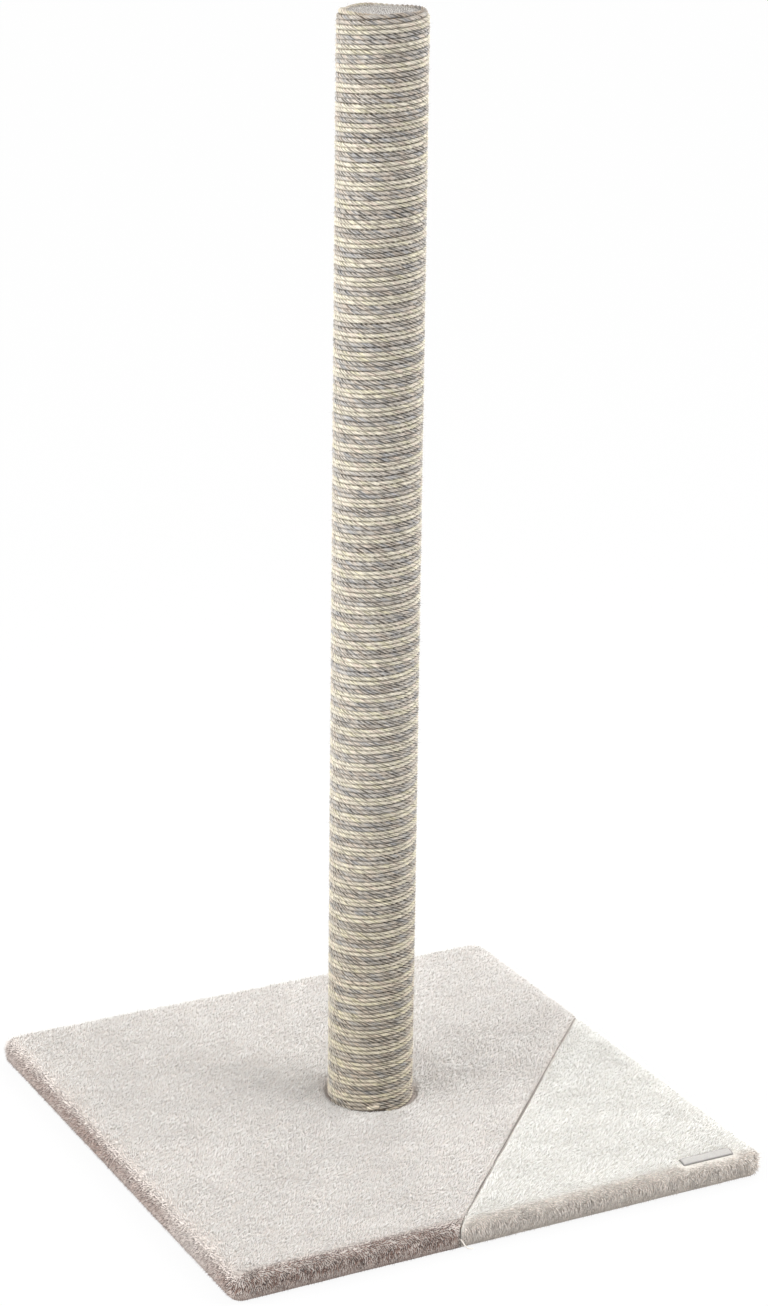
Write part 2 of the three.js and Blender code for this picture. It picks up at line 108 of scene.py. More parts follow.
def add(tree, kind, inputs=None, **settings):
    """Adds a node. Its settings are properties; its inputs, by name or number, are values or links."""
    node = tree.nodes.new(kind)
    for key, value in settings.items():
        setattr(node, key, value)
    for key, value in (inputs or {}).items():
        if isinstance(value, bpy.types.NodeSocket):
            tree.links.new(value, node.inputs[key])
        else:
            node.inputs[key].default_value = value
    return node


def result(tree, kind, inputs=None, **settings):
    """The first output of an added node."""
    return add(tree, kind, inputs, **settings).outputs[0]


def new_material(name, colour, roughness, metallic=0.0, bump=None, sheen=0.0):
    """A material. Its colour and roughness are values or made by a function of its node tree,
    and bump is such a function's height with the depth in metres that it stands for."""
    material = bpy.data.materials.new(name)
    material.use_nodes = True
    tree = material.node_tree
    surface = tree.nodes["Principled BSDF"].inputs
    for socket, value in {
        "Base Color": colour, "Roughness": roughness, "Metallic": metallic,
        "Sheen Weight": sheen, "Sheen Roughness": SHEEN_ROUGHNESS,
    }.items():
        if callable(value):
            tree.links.new(value(tree), surface[socket])
        else:
            surface[socket].default_value = value
    if bump:
        height, depth = bump
        bumps = add(tree, "ShaderNodeBump", {"Height": height(tree), "Distance": depth, "Strength": 1.0})
        tree.links.new(bumps.outputs["Normal"], surface["Normal"])
    return material


def place(tree, stretch=(1, 1, 1)):
    """The point on the piece in metres, with each axis multiplied by its stretch."""
    point = add(tree, "ShaderNodeTexCoord").outputs["Object"]
    return result(tree, "ShaderNodeMapping", {"Vector": point, "Scale": stretch})


def noise_at(tree, point, size, detail):
    """Soft noise from 0 to 1, whose lumps are about `size` metres across."""
    inputs = {"Vector": point, "Scale": 1 / size, "Detail": detail, "Roughness": NOISE_ROUGHNESS}
    return add(tree, "ShaderNodeTexNoise", inputs).outputs["Fac"]


def grain(size, detail, stretch=(1, 1, 1)):
    """Noise all over the piece, as a function of its node tree."""
    return lambda tree: noise_at(tree, place(tree, stretch), size, detail)


def between(tree, factor, low, high, *stops):
    """A ramp from `low` to `high` of its factor, over evenly spaced colours or numbers."""
    colours = [stop if hasattr(stop, "__len__") else (stop,) * 3 for stop in stops]
    ramp = add(tree, "ShaderNodeValToRGB", {"Fac": factor})
    elements = ramp.color_ramp.elements
    while len(elements) < len(colours):
        elements.new(0.5)
    for number, (element, colour) in enumerate(zip(elements, colours)):
        element.position = low + (high - low) * number / (len(colours) - 1)
        element.color = (*colour[:3], 1)
    return ramp.outputs["Color"]


def mixed(tree, factor, first, second, blend="MIX"):
    """Two colours mixed, or blended as Blender's Mix node names it."""
    node = add(tree, "ShaderNodeMix", {"Factor": factor}, data_type="RGBA", blend_type=blend)
    for socket, value in ((node.inputs[6], first), (node.inputs[7], second)):
        if isinstance(value, bpy.types.NodeSocket):
            tree.links.new(value, socket)
        else:
            socket.default_value = (*value[:3], 1)
    return node.outputs[2]


def cell_tone(tree, point, size):
    """A random tone for each cell of about `size` metres."""
    cells = add(tree, "ShaderNodeTexVoronoi", {"Vector": point, "Scale": 1 / size})
    return add(tree, "ShaderNodeSeparateColor", {"Color": cells.outputs["Color"]}).outputs["Red"]


def dress(material, *node_names):
    """Gives pieces that are carried over from the solids their material."""
    for node_name in node_names:
        for slot in nodes[node_name].material_slots:
            slot.material = material


def chips(tree):
    """Flat chips pressed together at random, each with its own tone."""
    bends = {"Vector": place(tree), "Scale": CHIP_BENDS_PER_METRE}
    bent = add(tree, "ShaderNodeTexNoise", bends).outputs["Color"]
    tone = cell_tone(tree, mixed(tree, CHIP_BEND, place(tree, CHIPS_FLAT), bent), CHIP_LENGTH)
    wood = between(tree, tone, 0.1, 0.9, *(shade(*chip) for chip in CHIP_COLOURS))
    return mixed(tree, CHIP_DUST, wood, grain(0.0012, 4)(tree), "OVERLAY")


chipboard = new_material("chipboard", chips, 0.9, bump=(grain(0.003, 5, CHIPS_FLAT), 0.0003))
dress(chipboard, "base_board")


# ---------------------------------------------------------------- plush cover
# Two panels of short-pile plush, beige and cream, sewn together along one straight seam. The cover is
# stretched over the board, its corners are eased round, and its margin is turned under and stapled.

board_low, board_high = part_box("base_board")
cover_low, cover_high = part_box("cover_beige")
cream_low, cream_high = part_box("cover_cream")
staples = [name for name in nodes if name.startswith("staple_")]

BACKING_GAP = 0.0003
PILE_STANDS = 0.0022  # how far the tips of the pile stand out over the skin that they grow from
LOFT = 0.0018  # how far the brushed-up pile of the top stands over the cover's pressed size
SKIN_HALF = -cover_low.x - PILE_STANDS
SKIN_TOP = cover_high.z - PILE_STANDS + LOFT
SKIN_UNDER_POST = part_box("post_tube")[0].z - BACKING_GAP
SKIN_BOTTOM = 0.0004
TOP_EDGE_RADIUS = 0.0115
BOTTOM_EDGE_RADIUS = 0.005
PLAN_CORNER_RADIUS = 0.0128
UNDER_CORNER_RADIUS = 0.006
INSIDE_CORNER_RADIUS = 0.005
HEM_WIDTH = 0.045
HEM_EDGE_RISE = 0.0012
HEM_EDGE_BEVEL = 0.0004
# how far in from the side the rings of the turned-under margin lie: closest together at the staples
HEM_INSETS = (0.012, 0.017, 0.0195, 0.0215, 0.023, 0.0245, 0.026, 0.0285, 0.033, 0.038, HEM_WIDTH - 0.002)
BOLT_HOLE_RADIUS = 0.0045
POST_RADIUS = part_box("rope_layer")[1].x
PRESSED_RADIUS = POST_RADIUS + 0.0004
PRESSED_RISES = (0.0025, 0.0003)  # how far past the post the skin starts to rise, and by how much
PRESSED_ENDS = 0.006  # how far past the post it is back at its full height
RINGS_UNDER_POST = (0.02, 0.04)
INSIDE_FIRST_RING = 0.03
INSIDE_RINGS = 12
COLUMN_SPACING = 0.006
CORNER_COLUMNS = 8
PUCKER = 0.0007
PUCKER_WAVES = ((0.65, 0.07, 1), (0.35, 0.018, 2))  # share, size and seed of each
STILL_BY_POST = 0.002  # no puckers this near the post
STAPLE_PRESS = 0.0012
STAPLE_PRESS_REACH = 0.006
HEM_WAVE = 0.0003
# painted shade in the crease round the post
CREASE = (POST_RADIUS + 0.0005, POST_RADIUS + 0.0035)  # from the axis: where it is darkest, and its end
CREASE_PAINTED_SHADE = (0.3, 0.25, 0.22)
# the painted shade along the foot of the sides fades out between these heights
FOOT_SHADE_HEIGHTS = (0.002, 0.011)
WHITE = (1, 1, 1)
# the colours of the painted shade at the foot of each panel
BEIGE_FOOT_SHADE = (0.34, 0.27, 0.24)
CREAM_FOOT_SHADE = (0.62, 0.57, 0.53)

SEAM_FRONT = Vector((cream_low.x - 0.00124, cream_low.y, 0))
SEAM_RIGHT = Vector((cream_high.x, cream_high.y + 0.0013, 0))
SEAM_ALONG = (SEAM_RIGHT - SEAM_FRONT).normalized()
SEAM_TO_CREAM = Vector((SEAM_ALONG.y, -SEAM_ALONG.x, 0))
SEAM_DEPTH = 0.0011
SEAM_HALF_WIDTH = 0.0004
SEAM_VALLEY = 0.0036
# where extra rows of the skin's mesh run beside the seam
SEAM_ROWS = (0.0012, 0.0022, 0.0036, 0.0056)


def directions():
    """Angles of the mesh's columns: even steps along each side, and round each corner's arc."""
    straight = SKIN_HALF - PLAN_CORNER_RADIUS
    steps = round(2 * straight / COLUMN_SPACING)
    quarter = [math.atan2(-straight + 2 * straight * i / steps, SKIN_HALF) for i in range(steps + 1)]
    for i in range(1, CORNER_COLUMNS):
        turn = math.pi / 2 * i / CORNER_COLUMNS
        quarter.append(math.atan2(
            straight + PLAN_CORNER_RADIUS * math.sin(turn),
            straight + PLAN_CORNER_RADIUS * math.cos(turn),
        ))
    return np.array([angle + turn * math.pi / 2 for turn in range(4) for angle in quarter])


def rounded_square(half, radius, angles):
    """Points where rays from the middle meet a square with round corners. A radius of half is a circle."""
    ray = np.stack([np.cos(angles), np.sin(angles)], axis=1)
    large, small = np.abs(ray).max(axis=1), np.abs(ray).min(axis=1)
    corner = half - radius
    on_side = half / large
    along = corner * (large + small)
    root = np.sqrt(np.maximum(along**2 - 2 * corner**2 + radius**2, 0))
    reach = np.where(on_side * small <= corner, on_side, along + root)
    return ray * reach[:, None]


def quarter_round(half, height, radius, start, steps):
    """[half side, height, plan radius] round an edge, a quarter turn down from `start`."""
    inner = PLAN_CORNER_RADIUS - radius
    turns = [start - math.pi / 2 * i / steps for i in range(steps + 1)]
    return [
        (half + radius * math.cos(t), height + radius * math.sin(t), inner + radius * math.cos(t))
        for t in turns
    ]


def outside_rings():
    """The skin's outside, from the bolt hole over the top, down the side and under to the hem's edge."""
    under_post = (BOLT_HOLE_RADIUS, *RINGS_UNDER_POST, PRESSED_RADIUS)
    rings = [(radius, SKIN_UNDER_POST, radius) for radius in under_post]
    rises = PRESSED_RADIUS + PRESSED_RISES[0]
    rings.append((rises, SKIN_UNDER_POST + PRESSED_RISES[1], rises))
    # over the top the rings turn from circles into squares
    start, end = PRESSED_RADIUS + PRESSED_ENDS, SKIN_HALF - TOP_EDGE_RADIUS
    steps = round((end - start) / COLUMN_SPACING)
    for i in range(steps):
        half = start + (end - start) * i / steps
        square = math.sqrt(i / steps)
        radius = half * (1 - square) + (PLAN_CORNER_RADIUS - TOP_EDGE_RADIUS) * square
        rings.append((half, SKIN_TOP, radius))
    low = SKIN_BOTTOM + BOTTOM_EDGE_RADIUS
    high = SKIN_TOP - TOP_EDGE_RADIUS
    rings += quarter_round(end, high, TOP_EDGE_RADIUS, math.pi / 2, 6)
    rings += [(SKIN_HALF, high + (low - high) * i / 4, PLAN_CORNER_RADIUS) for i in range(1, 4)]
    rings += quarter_round(SKIN_HALF - BOTTOM_EDGE_RADIUS, low, BOTTOM_EDGE_RADIUS, 0, 5)
    return rings + [(SKIN_HALF - inset, SKIN_BOTTOM, UNDER_CORNER_RADIUS) for inset in HEM_INSETS]


def inside_rings():
    """The skin's inside, from the hem's edge along the board and back to the bolt hole."""
    hem = SKIN_HALF - HEM_WIDTH
    side = board_high.x + BACKING_GAP
    under, over = board_low.z - BACKING_GAP, board_high.z + BACKING_GAP
    profile = [(hem, SKIN_BOTTOM + HEM_EDGE_RISE), (hem + HEM_EDGE_BEVEL, under - HEM_EDGE_BEVEL)]
    profile += [(hem + (side - hem) * share, under) for share in (0.04, 0.35, 0.7, 1)]
    profile += [(side, under + (over - under) * share) for share in (0.33, 0.67, 1)]
    rings = [(half, height, INSIDE_CORNER_RADIUS) for half, height in profile]
    for i in range(1, INSIDE_RINGS + 1):
        share = i / INSIDE_RINGS
        half = side + (INSIDE_FIRST_RING - side) * share
        rings.append((half, over, INSIDE_CORNER_RADIUS * (1 - share) + half * share))
    return [*rings, (BOLT_HOLE_RADIUS, over, BOLT_HOLE_RADIUS)]


def whole_skin():
    """The cover before it is parted at the seam, with a mark on the points of its outside."""
    angles = directions()
    outside, inside = outside_rings(), inside_rings()
    mesh = bmesh.new()
    outer = mesh.verts.layers.float.new("outside")
    rows = [
        [mesh.verts.new((x, y, height)) for x, y in rounded_square(half, radius, angles)]
        for half, height, radius in (*outside, *inside)
    ]
    for row, next_row in zip(rows, rows[1:] + rows[:1]):
        for i in range(len(angles)):
            j = (i + 1) % len(angles)
            mesh.faces.new((row[i], next_row[i], next_row[j], row[j]))
    for row in rows[: len(outside)]:
        for vertex in row:
            vertex[outer] = 1.0
    return mesh


def uneven(point, size, seed):
    """Smooth noise from about -1 to 1, with lumps `size` metres across."""
    return noise.noise(Vector(point) / size + Vector((seed, seed * 2.3, seed * 3.1)))


def seam_distance(point):
    """How far a point is from the seam's upright plane, to the cream side."""
    return (Vector(point) - SEAM_FRONT).dot(SEAM_TO_CREAM)


def settled(point):
    """How far the skin stands out of its plain shape at a point: puckered, and drawn down at the seam."""
    wave = sum(share * uneven(point, size, seed) for share, size, seed in PUCKER_WAVES)
    return PUCKER * wave - SEAM_DEPTH * math.exp(-((seam_distance(point) / SEAM_VALLEY) ** 2))


def shape_skin(mesh):
    """Settles the skin, and presses it in round the staples."""
    outer = mesh.verts.layers.float["outside"]
    mesh.normal_update()
    crowns = [((low + high) / 2, (high - low) / 2) for low, high in map(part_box, staples)]
    moves = []
    for vertex in mesh.verts:
        point, normal = vertex.co, vertex.normal
        out = vertex[outer] * (math.hypot(point.x, point.y) > PRESSED_RADIUS + STILL_BY_POST)
        move = normal * out * settled(point)
        if out and normal.z < -0.5:
            # the pile under the board lies flat, and the staples press into it
            from_staple = min(
                max(max(abs(point[i] - middle[i]) - half[i], 0) for i in range(2))
                for middle, half in crowns
            )
            press = STAPLE_PRESS * max(0, 1 - from_staple / STAPLE_PRESS_REACH)
            move = Vector((0, 0, press + HEM_WAVE * (1 + uneven(point, 0.03, 3))))
        moves.append(move)
    for vertex, move in zip(mesh.verts, moves):
        vertex.co += move


def cut_by_seam(mesh, offset, normal, **clearing):
    """Cuts a mesh along the upright plane that lies `offset` from the seam, to the cream side."""
    bmesh.ops.bisect_plane(
        mesh, geom=[*mesh.verts, *mesh.edges, *mesh.faces],
        plane_co=SEAM_FRONT + SEAM_TO_CREAM * offset, plane_no=normal, **clearing,
    )


def made_of(name, mesh, material):
    """An object of a bmesh, smooth, with one material."""
    made = new_object(name, bpy.data.meshes.new(name))
    mesh.to_mesh(made.data)
    mesh.free()
    made.data.shade_smooth()
    made.data.materials.append(material)
    return made


def panel(mesh, name, side, material):
    """The part of the skin on one side of the seam (1 is cream), with its cut edge closed."""
    part = mesh.copy()
    cut_by_seam(part, side * SEAM_HALF_WIDTH, -SEAM_TO_CREAM * side, clear_outer=True)
    open_edges = [edge for edge in part.edges if edge.is_boundary]
    bmesh.ops.holes_fill(part, edges=open_edges, sides=0)
    bmesh.ops.triangulate(part, faces=[face for face in part.faces if len(face.verts) > 4])
    bmesh.ops.recalc_face_normals(part, faces=part.faces)
    if max(part.faces, key=lambda face: face.calc_center_median().z).normal.z < 0:
        bmesh.ops.reverse_faces(part, faces=part.faces)
    shape_skin(part)
    return made_of(name, part, material)


def times(tree, colour, *others):
    """Colours multiplied with each other."""
    for other in others:
        colour = mixed(tree, 1.0, colour, other, "MULTIPLY")
    return colour


def mottled(tree, size, detail, *stops, stretch=(1, 1, 1), span=(0.3, 0.7)):
    """Colours or numbers in soft lumps about `size` metres across, spread over the noise's span."""
    return between(tree, grain(size, detail, stretch)(tree), *span, *stops)


def axes(tree, vector):
    """The X, Y and Z of a vector."""
    return add(tree, "ShaderNodeSeparateXYZ", {0: vector}).outputs


def vectors(tree, operation, *values):
    """What vectors come to, by the Vector Math node's name for it."""
    node = add(tree, "ShaderNodeVectorMath", dict(enumerate(values)), operation=operation)
    return node.outputs["Value" if operation == "LENGTH" else "Vector"]


def from_axis(tree):
    """How far the point is from the post's upright axis."""
    return vectors(tree, "LENGTH", place(tree, (1, 1, 0)))


def shaded_foot(tree, foot_shade):
    """White, or the colour of the painted shade along the foot of the sides, where they meet the floor."""
    return between(tree, axes(tree, place(tree))["Z"], *FOOT_SHADE_HEIGHTS, foot_shade, WHITE)


def knitted_backing(pale, dark, foot_shade=WHITE):
    """The ground that the pile grows from: a close knit, darker in its low places."""
    return lambda tree: times(
        tree, mottled(tree, 0.0016, 4, shade(*dark), shade(*pale)), shaded_foot(tree, foot_shade)
    )


def crease_shaded(colour):
    """The colour, with a painted shade in the crease round the post."""
    def whole(tree):
        crease = between(tree, from_axis(tree), *CREASE, CREASE_PAINTED_SHADE, WHITE)
        return times(tree, colour(tree), crease)
    return whole


def plush_ground(name, colour):
    """The material of a panel under its pile."""
    return new_material(name, colour, 0.95, bump=(grain(0.0011, 3), 0.0006), sheen=0.2)


# the beige ground also takes the painted crease shade round the post
beige_ground = plush_ground(
    "beige plush ground", crease_shaded(knitted_backing((228, 220, 214), (206, 196, 188), BEIGE_FOOT_SHADE))
)
cream_ground = plush_ground(
    "cream plush ground", knitted_backing((212, 208, 201), (194, 189, 181), CREAM_FOOT_SHADE)
)
skin = whole_skin()
for row_offset in SEAM_ROWS:
    for side in (-1, 1):
        cut_by_seam(skin, side * row_offset, SEAM_TO_CREAM)
beige_skin = panel(skin, "plush_beige", -1, beige_ground)
cream_skin = panel(skin, "plush_cream", 1, cream_ground)
skin.free()


# ---------------------------------------------------------------- pile of the plush
# Short, soft tufts, close together. They lie down a little on the sides of the base,
# are missing where the post presses on them, and part along the seam and under the label.

TUFT_SPACING = 0.0014
TUFT_LENGTH = 0.0053
TUFT_WIDTH = 0.0007
TUFT_SIZES = (0.72, 1.18)
DENSEST_PILE = 1200000.0  # tufts in a square metre before their spacing thins them
LEAN = 0.6
STRAY = 0.4
SWIRLS_PER_METRE = 32.0
TOP_NAP = Vector((0.45, -0.5, 0))
SIDE_NAP = Vector((-0.45, 0, -0.85))
SIDE_LENGTHS = {"plush_beige": 1.05, "plush_cream": 1.25}  # the pile stands longer on the sides
CLUMP_WIDTH = 0.0027
CLUMP_LENGTH = 0.012
CLUMP_SLANT = math.radians(38)
PILE_SEED = 7
TIPS_FROM = (-9.0, -9.0, 0.0003)  # tips stay above this height, and go anywhere in X and Y
BEIGE_PILE_CUTS = (-1.0, -0.13, 0.06, 1.0)  # X, where the beige pile is parted into three light pieces

label_low, label_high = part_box("label_tape")
LABEL_MIDDLE = (label_low + label_high) / 2
LABEL_HALF = (label_high - label_low) / 2
LABEL_CLEARANCE = 0.0012
# how far from each of these the pile is back at its full height
SHORT_BY_POST = 0.008
SHORT_BY_LABEL = 0.005
SHORT_BY_SEAM = 0.004
SHORT_BY_FLOOR = 0.014
SHORTEST_BELOW = 0.002
POST_SWEEP = 0.01  # how far from the post the pile leans away from it
POST_SWEPT = 1.2
EDGE_SWEEP = 0.022  # how far from the edges the top's pile starts to turn outwards
EDGE_SWEPT = 0.8


def geometry_tree(name, sizes):
    """A tree of geometry nodes with named inputs for its sizes, and the sockets that give them."""
    tree = bpy.data.node_groups.new(name, "GeometryNodeTree")
    for in_out in ("INPUT", "OUTPUT"):
        tree.interface.new_socket("Geometry", in_out=in_out, socket_type="NodeSocketGeometry")
    for label, size in sizes.items():
        kind = "NodeSocketInt" if isinstance(size, int) else "NodeSocketFloat"
        tree.interface.new_socket(label, in_out="INPUT", socket_type=kind).default_value = size
    tree.interface.new_socket("Material", in_out="INPUT", socket_type="NodeSocketMaterial")
    return tree, add(tree, "NodeGroupInput").outputs


def finish_tree(tree, given, geometry):
    """Ends a tree: real geometry, smooth, with its material."""
    real = result(tree, "GeometryNodeRealizeInstances", {"Geometry": geometry})
    smooth = result(tree, "GeometryNodeSetShadeSmooth", {"Geometry": real})
    painted = result(tree, "GeometryNodeSetMaterial", {"Geometry": smooth, "Material": given["Material"]})
    add(tree, "NodeGroupOutput", {"Geometry": painted})


def grown(name, source, tree, **values):
    """What a tree makes of a source object, as a plain mesh in an object of its own."""
    modifier = source.modifiers.new(tree.name, "NODES")
    modifier.node_group = tree
    for item in tree.interface.items_tree:
        if item.in_out == "INPUT" and item.name in values:
            modifier[item.identifier] = values[item.name]
    graph = bpy.context.evaluated_depsgraph_get()
    mesh = bpy.data.meshes.new_from_object(source.evaluated_get(graph), depsgraph=graph)
    source.modifiers.remove(modifier)
    mesh.name = name
    return new_object(name, mesh)


def maths(tree, operation, *values):
    """What numbers come to, by the Math node's name for it."""
    return result(tree, "ShaderNodeMath", dict(enumerate(values)), operation=operation)


def scaled(tree, vector, factor):
    """A vector made longer by a factor."""
    return result(tree, "ShaderNodeVectorMath", {0: vector, "Scale": factor}, operation="SCALE")


def here(tree):
    """The place of each point of the geometry."""
    return result(tree, "GeometryNodeInputPosition")


def stored(tree, geometry, name, kind, value, domain="POINT"):
    """The geometry with a value written on it, under a name that materials can read."""
    inputs = {"Geometry": geometry, "Name": name, "Value": value}
    return result(tree, "GeometryNodeStoreNamedAttribute", inputs, data_type=kind, domain=domain)


def named(tree, name, kind="FLOAT"):
    """A value that was written on the geometry under a name."""
    return add(tree, "GeometryNodeInputNamedAttribute", {"Name": name}, data_type=kind).outputs["Attribute"]


def drawn(tree, low, high, seed):
    """A number or vector drawn at random for each point, between two."""
    if hasattr(low, "__len__"):
        inputs = {0: low, 1: high, "Seed": seed}
        return add(tree, "FunctionNodeRandomValue", inputs, data_type="FLOAT_VECTOR").outputs[0]
    inputs = {2: low, 3: high, "Seed": seed}
    return add(tree, "FunctionNodeRandomValue", inputs, data_type="FLOAT").outputs[1]


def spike(tree, radius, length):
    """A slender spike of three sides, which stands on its foot along +Z."""
    return add(tree, "GeometryNodeMeshCone", {
        "Vertices": 3, "Side Segments": 1, "Fill Segments": 1,
        "Radius Top": 0.0, "Radius Bottom": radius, "Depth": length,
    }, fill_type="NGON").outputs["Mesh"]


def turned_to(tree, way):
    """The turn that lays +Z along a vector."""
    return result(tree, "FunctionNodeAlignRotationToVector", {"Vector": way}, axis="Z")


def pile_tree():
    """Tufts on a skin, as tall as its `pile` attribute says, between two planes of constant X."""
    tree, given = geometry_tree("plush pile", {
        "Spacing": TUFT_SPACING, "Length": TUFT_LENGTH, "Width": TUFT_WIDTH, "Lean": LEAN,
        "From X": -1.0, "To X": 1.0, "Seed": PILE_SEED,
    })
    tuft = spike(tree, given["Width"], given["Length"])
    up = maths(tree, "DIVIDE", axes(tree, here(tree))["Z"], given["Length"])
    tuft = stored(tree, tuft, "up", "FLOAT", up)

    roots = add(tree, "GeometryNodeDistributePointsOnFaces", {
        "Mesh": given["Geometry"], "Distance Min": given["Spacing"], "Density Max": DENSEST_PILE,
        "Density Factor": maths(tree, "GREATER_THAN", named(tree, "pile"), 0.05), "Seed": given["Seed"],
    }, distribute_method="POISSON")
    across = axes(tree, here(tree))["X"]
    before = maths(tree, "LESS_THAN", across, given["From X"])
    after = maths(tree, "SUBTRACT", 1.0, maths(tree, "LESS_THAN", across, given["To X"]))
    kept = result(tree, "GeometryNodeDeleteGeometry", {
        "Geometry": roots.outputs["Points"], "Selection": maths(tree, "ADD", before, after),
    }, domain="POINT")
    # each tuft leans with its neighbours, and a little its own way
    swirls = {"Vector": here(tree), "Scale": SWIRLS_PER_METRE, "Detail": 2.0}
    swirl = add(tree, "ShaderNodeTexNoise", swirls).outputs["Color"]
    stray = drawn(tree, (-0.5, -0.5, -0.5), (0.5, 0.5, 0.5), 11)
    lean = vectors(tree, "SUBTRACT", swirl, (0.5, 0.5, 0.5))
    lean = vectors(tree, "ADD", lean, scaled(tree, stray, STRAY))
    lean = scaled(tree, lean, maths(tree, "MULTIPLY", given["Lean"], 2.0))
    lean = vectors(tree, "ADD", lean, named(tree, "nap", "FLOAT_VECTOR"))
    turned = turned_to(tree, vectors(tree, "ADD", roots.outputs["Normal"], lean))
    spin = {"Axis": (0, 0, 1), "Angle": drawn(tree, 0.0, math.tau, 12)}
    turned = result(tree, "FunctionNodeRotateRotation", {
        0: turned, 1: result(tree, "FunctionNodeAxisAngleToRotation", spin),
    }, rotation_space="LOCAL")
    planted = result(tree, "GeometryNodeInstanceOnPoints", {
        "Points": kept, "Instance": tuft, "Rotation": turned,
        "Scale": maths(tree, "MULTIPLY", drawn(tree, *TUFT_SIZES, 13), named(tree, "pile")),
    })
    planted = stored(tree, planted, "tuft", "FLOAT", drawn(tree, 0.0, 1.0, 14), "INSTANCE")
    # carries the painted side light and shade over to the tufts
    planted = stored(tree, planted, "brushed", "FLOAT", named(tree, "brushed"), "INSTANCE")
    real = result(tree, "GeometryNodeRealizeInstances", {"Geometry": planted})
    # tips that would reach below the floor bend up along it
    above_floor = vectors(tree, "MAXIMUM", here(tree), TIPS_FROM)
    bent = result(tree, "GeometryNodeSetPosition", {"Geometry": real, "Position": above_floor})
    finish_tree(tree, given, bent)
    return tree


def pile_layers(mesh):
    """Gives a mesh what the pile's tree reads: how tall the pile grows, how much painted
    side light and shade it takes, and the way its nap lies."""
    kinds = {"pile": "FLOAT", "brushed": "FLOAT", "nap": "FLOAT_VECTOR"}
    for name, kind in kinds.items():
        mesh.attributes.new(name, kind, "POINT")
    return [mesh.attributes[name].data for name in kinds]


def held(share):
    """A share kept from 0 to 1."""
    return min(max(share, 0), 1)


def mark_pile(skin_object):
    """Writes where pile grows on a skin, which way its nap lies there, and how much painted side light and
    shade it takes.
    """
    mesh = skin_object.data
    grows, brushed, nap = pile_layers(mesh)
    outer = mesh.attributes["outside"].data
    longer = SIDE_LENGTHS[skin_object.name] - 1
    for number, vertex in enumerate(mesh.vertices):
        point, normal = vertex.co, vertex.normal
        reach = math.hypot(point.x, point.y)
        from_post = reach - PRESSED_RADIUS
        from_seam = abs(seam_distance(point))
        from_label = math.hypot(*(
            max(abs(point[i] - LABEL_MIDDLE[i]) - LABEL_HALF[i], 0) for i in range(2)
        ))
        bare = (
            outer[number].value < 0.99
            or from_post < 0
            or normal.z < -0.6
            or from_seam < SEAM_HALF_WIDTH * (1.2 + 7 * max(0, uneven(point, 0.013, 10)))
            or from_label < LABEL_CLEARANCE
        )
        # shorter round the post, the label and the seam, and where it is rubbed along the foot of the sides
        height = min(
            1,
            0.5 + 0.5 * from_post / SHORT_BY_POST,
            0.5 + 0.5 * (from_label - LABEL_CLEARANCE) / SHORT_BY_LABEL,
            0.6 + 0.3 * uneven(point, 0.014, 8) + 0.4 * from_seam / SHORT_BY_SEAM,
            0.3 + 0.7 * max(point.z - SHORTEST_BELOW, 0) / SHORT_BY_FLOOR,
        )
        side = 1 - max(normal.z, 0)
        grows[number].value = 0.0 if bare else height * (1 + longer * side)
        # painted side light and shade, on the sides that face front and left, patchy on the left
        faces_front = held((-normal.y - 0.12) / 0.4)
        faces_left = held((-normal.x - 0.3) / 0.7)
        brushed[number].value = max(faces_front, faces_left * (0.5 + 0.55 * uneven(point, 0.13, 6)))
        off_post = Vector((point.x, point.y, 0)) / max(reach, 0.001) * max(0, 1 - from_post / POST_SWEEP)
        outwards = Vector([
            math.copysign(max(abs(across) - SKIN_HALF + EDGE_SWEEP, 0) / EDGE_SWEEP, across)
            for across in point.xy
        ] + [0])
        on_side = SIDE_NAP * held(1.3 - normal.x * 1.6)
        on_top = TOP_NAP + outwards * EDGE_SWEPT
        nap[number].vector = on_side * side + on_top * (1 - side) + off_post * POST_SWEPT


def layer(tree, name):
    """A number that the mesh carries."""
    return add(tree, "ShaderNodeAttribute", attribute_name=name).outputs["Fac"]


def clumps(tree):
    """Slanting streaks on the sides, where the fibres cling together in locks."""
    lock = result(tree, "ShaderNodeMapping", {
        "Vector": place(tree), "Rotation": (0, CLUMP_SLANT, 0),
        "Scale": (CLUMP_WIDTH, CLUMP_WIDTH, CLUMP_LENGTH),
    }, vector_type="TEXTURE")
    return noise_at(tree, lock, 1.0, 1)


def plush_colour(root, tip, low_root, low_tip, locks, foot_shade=WHITE):
    """Root and tip colours on the top, the darker roots a painted shade; on the front and left sides, the
    low ones, painted side shade on the beige and painted side light on the cream. Then how dark the painted
    shade in the gaps between its locks is there, and the painted shade at their foot."""
    def colour(tree):
        up, tuft, low = (layer(tree, name) for name in ("up", "tuft", "brushed"))
        patches = mottled(tree, 0.05, 2, 0.95, 1.0, span=(0.35, 0.65))
        each = mixed(tree, low, between(tree, tuft, 0, 1, 0.9, 1.0), between(tree, tuft, 0, 1, 0.8, 1.0))
        # painted shade in the gaps between the locks on the sides
        gaps = mixed(tree, low, WHITE, between(tree, clumps(tree), 0.40, 0.57, locks, 1.0))
        # the darker roots are a painted shade
        top = between(tree, up, 0.05, 0.85, shade(*root), shade(*tip))
        # on the front and left sides: painted side shade on the beige, painted side light on the cream
        side = between(tree, up, 0.05, 0.95, shade(*low_root), shade(*low_tip))
        # with the painted shade along the foot
        each = times(tree, each, gaps, shaded_foot(tree, foot_shade))
        return times(tree, mixed(tree, low, top, side), patches, each)
    return colour


def plush_pile(name, colour):
    """The material of the tufts."""
    return new_material(name, colour, 0.9, sheen=0.15)
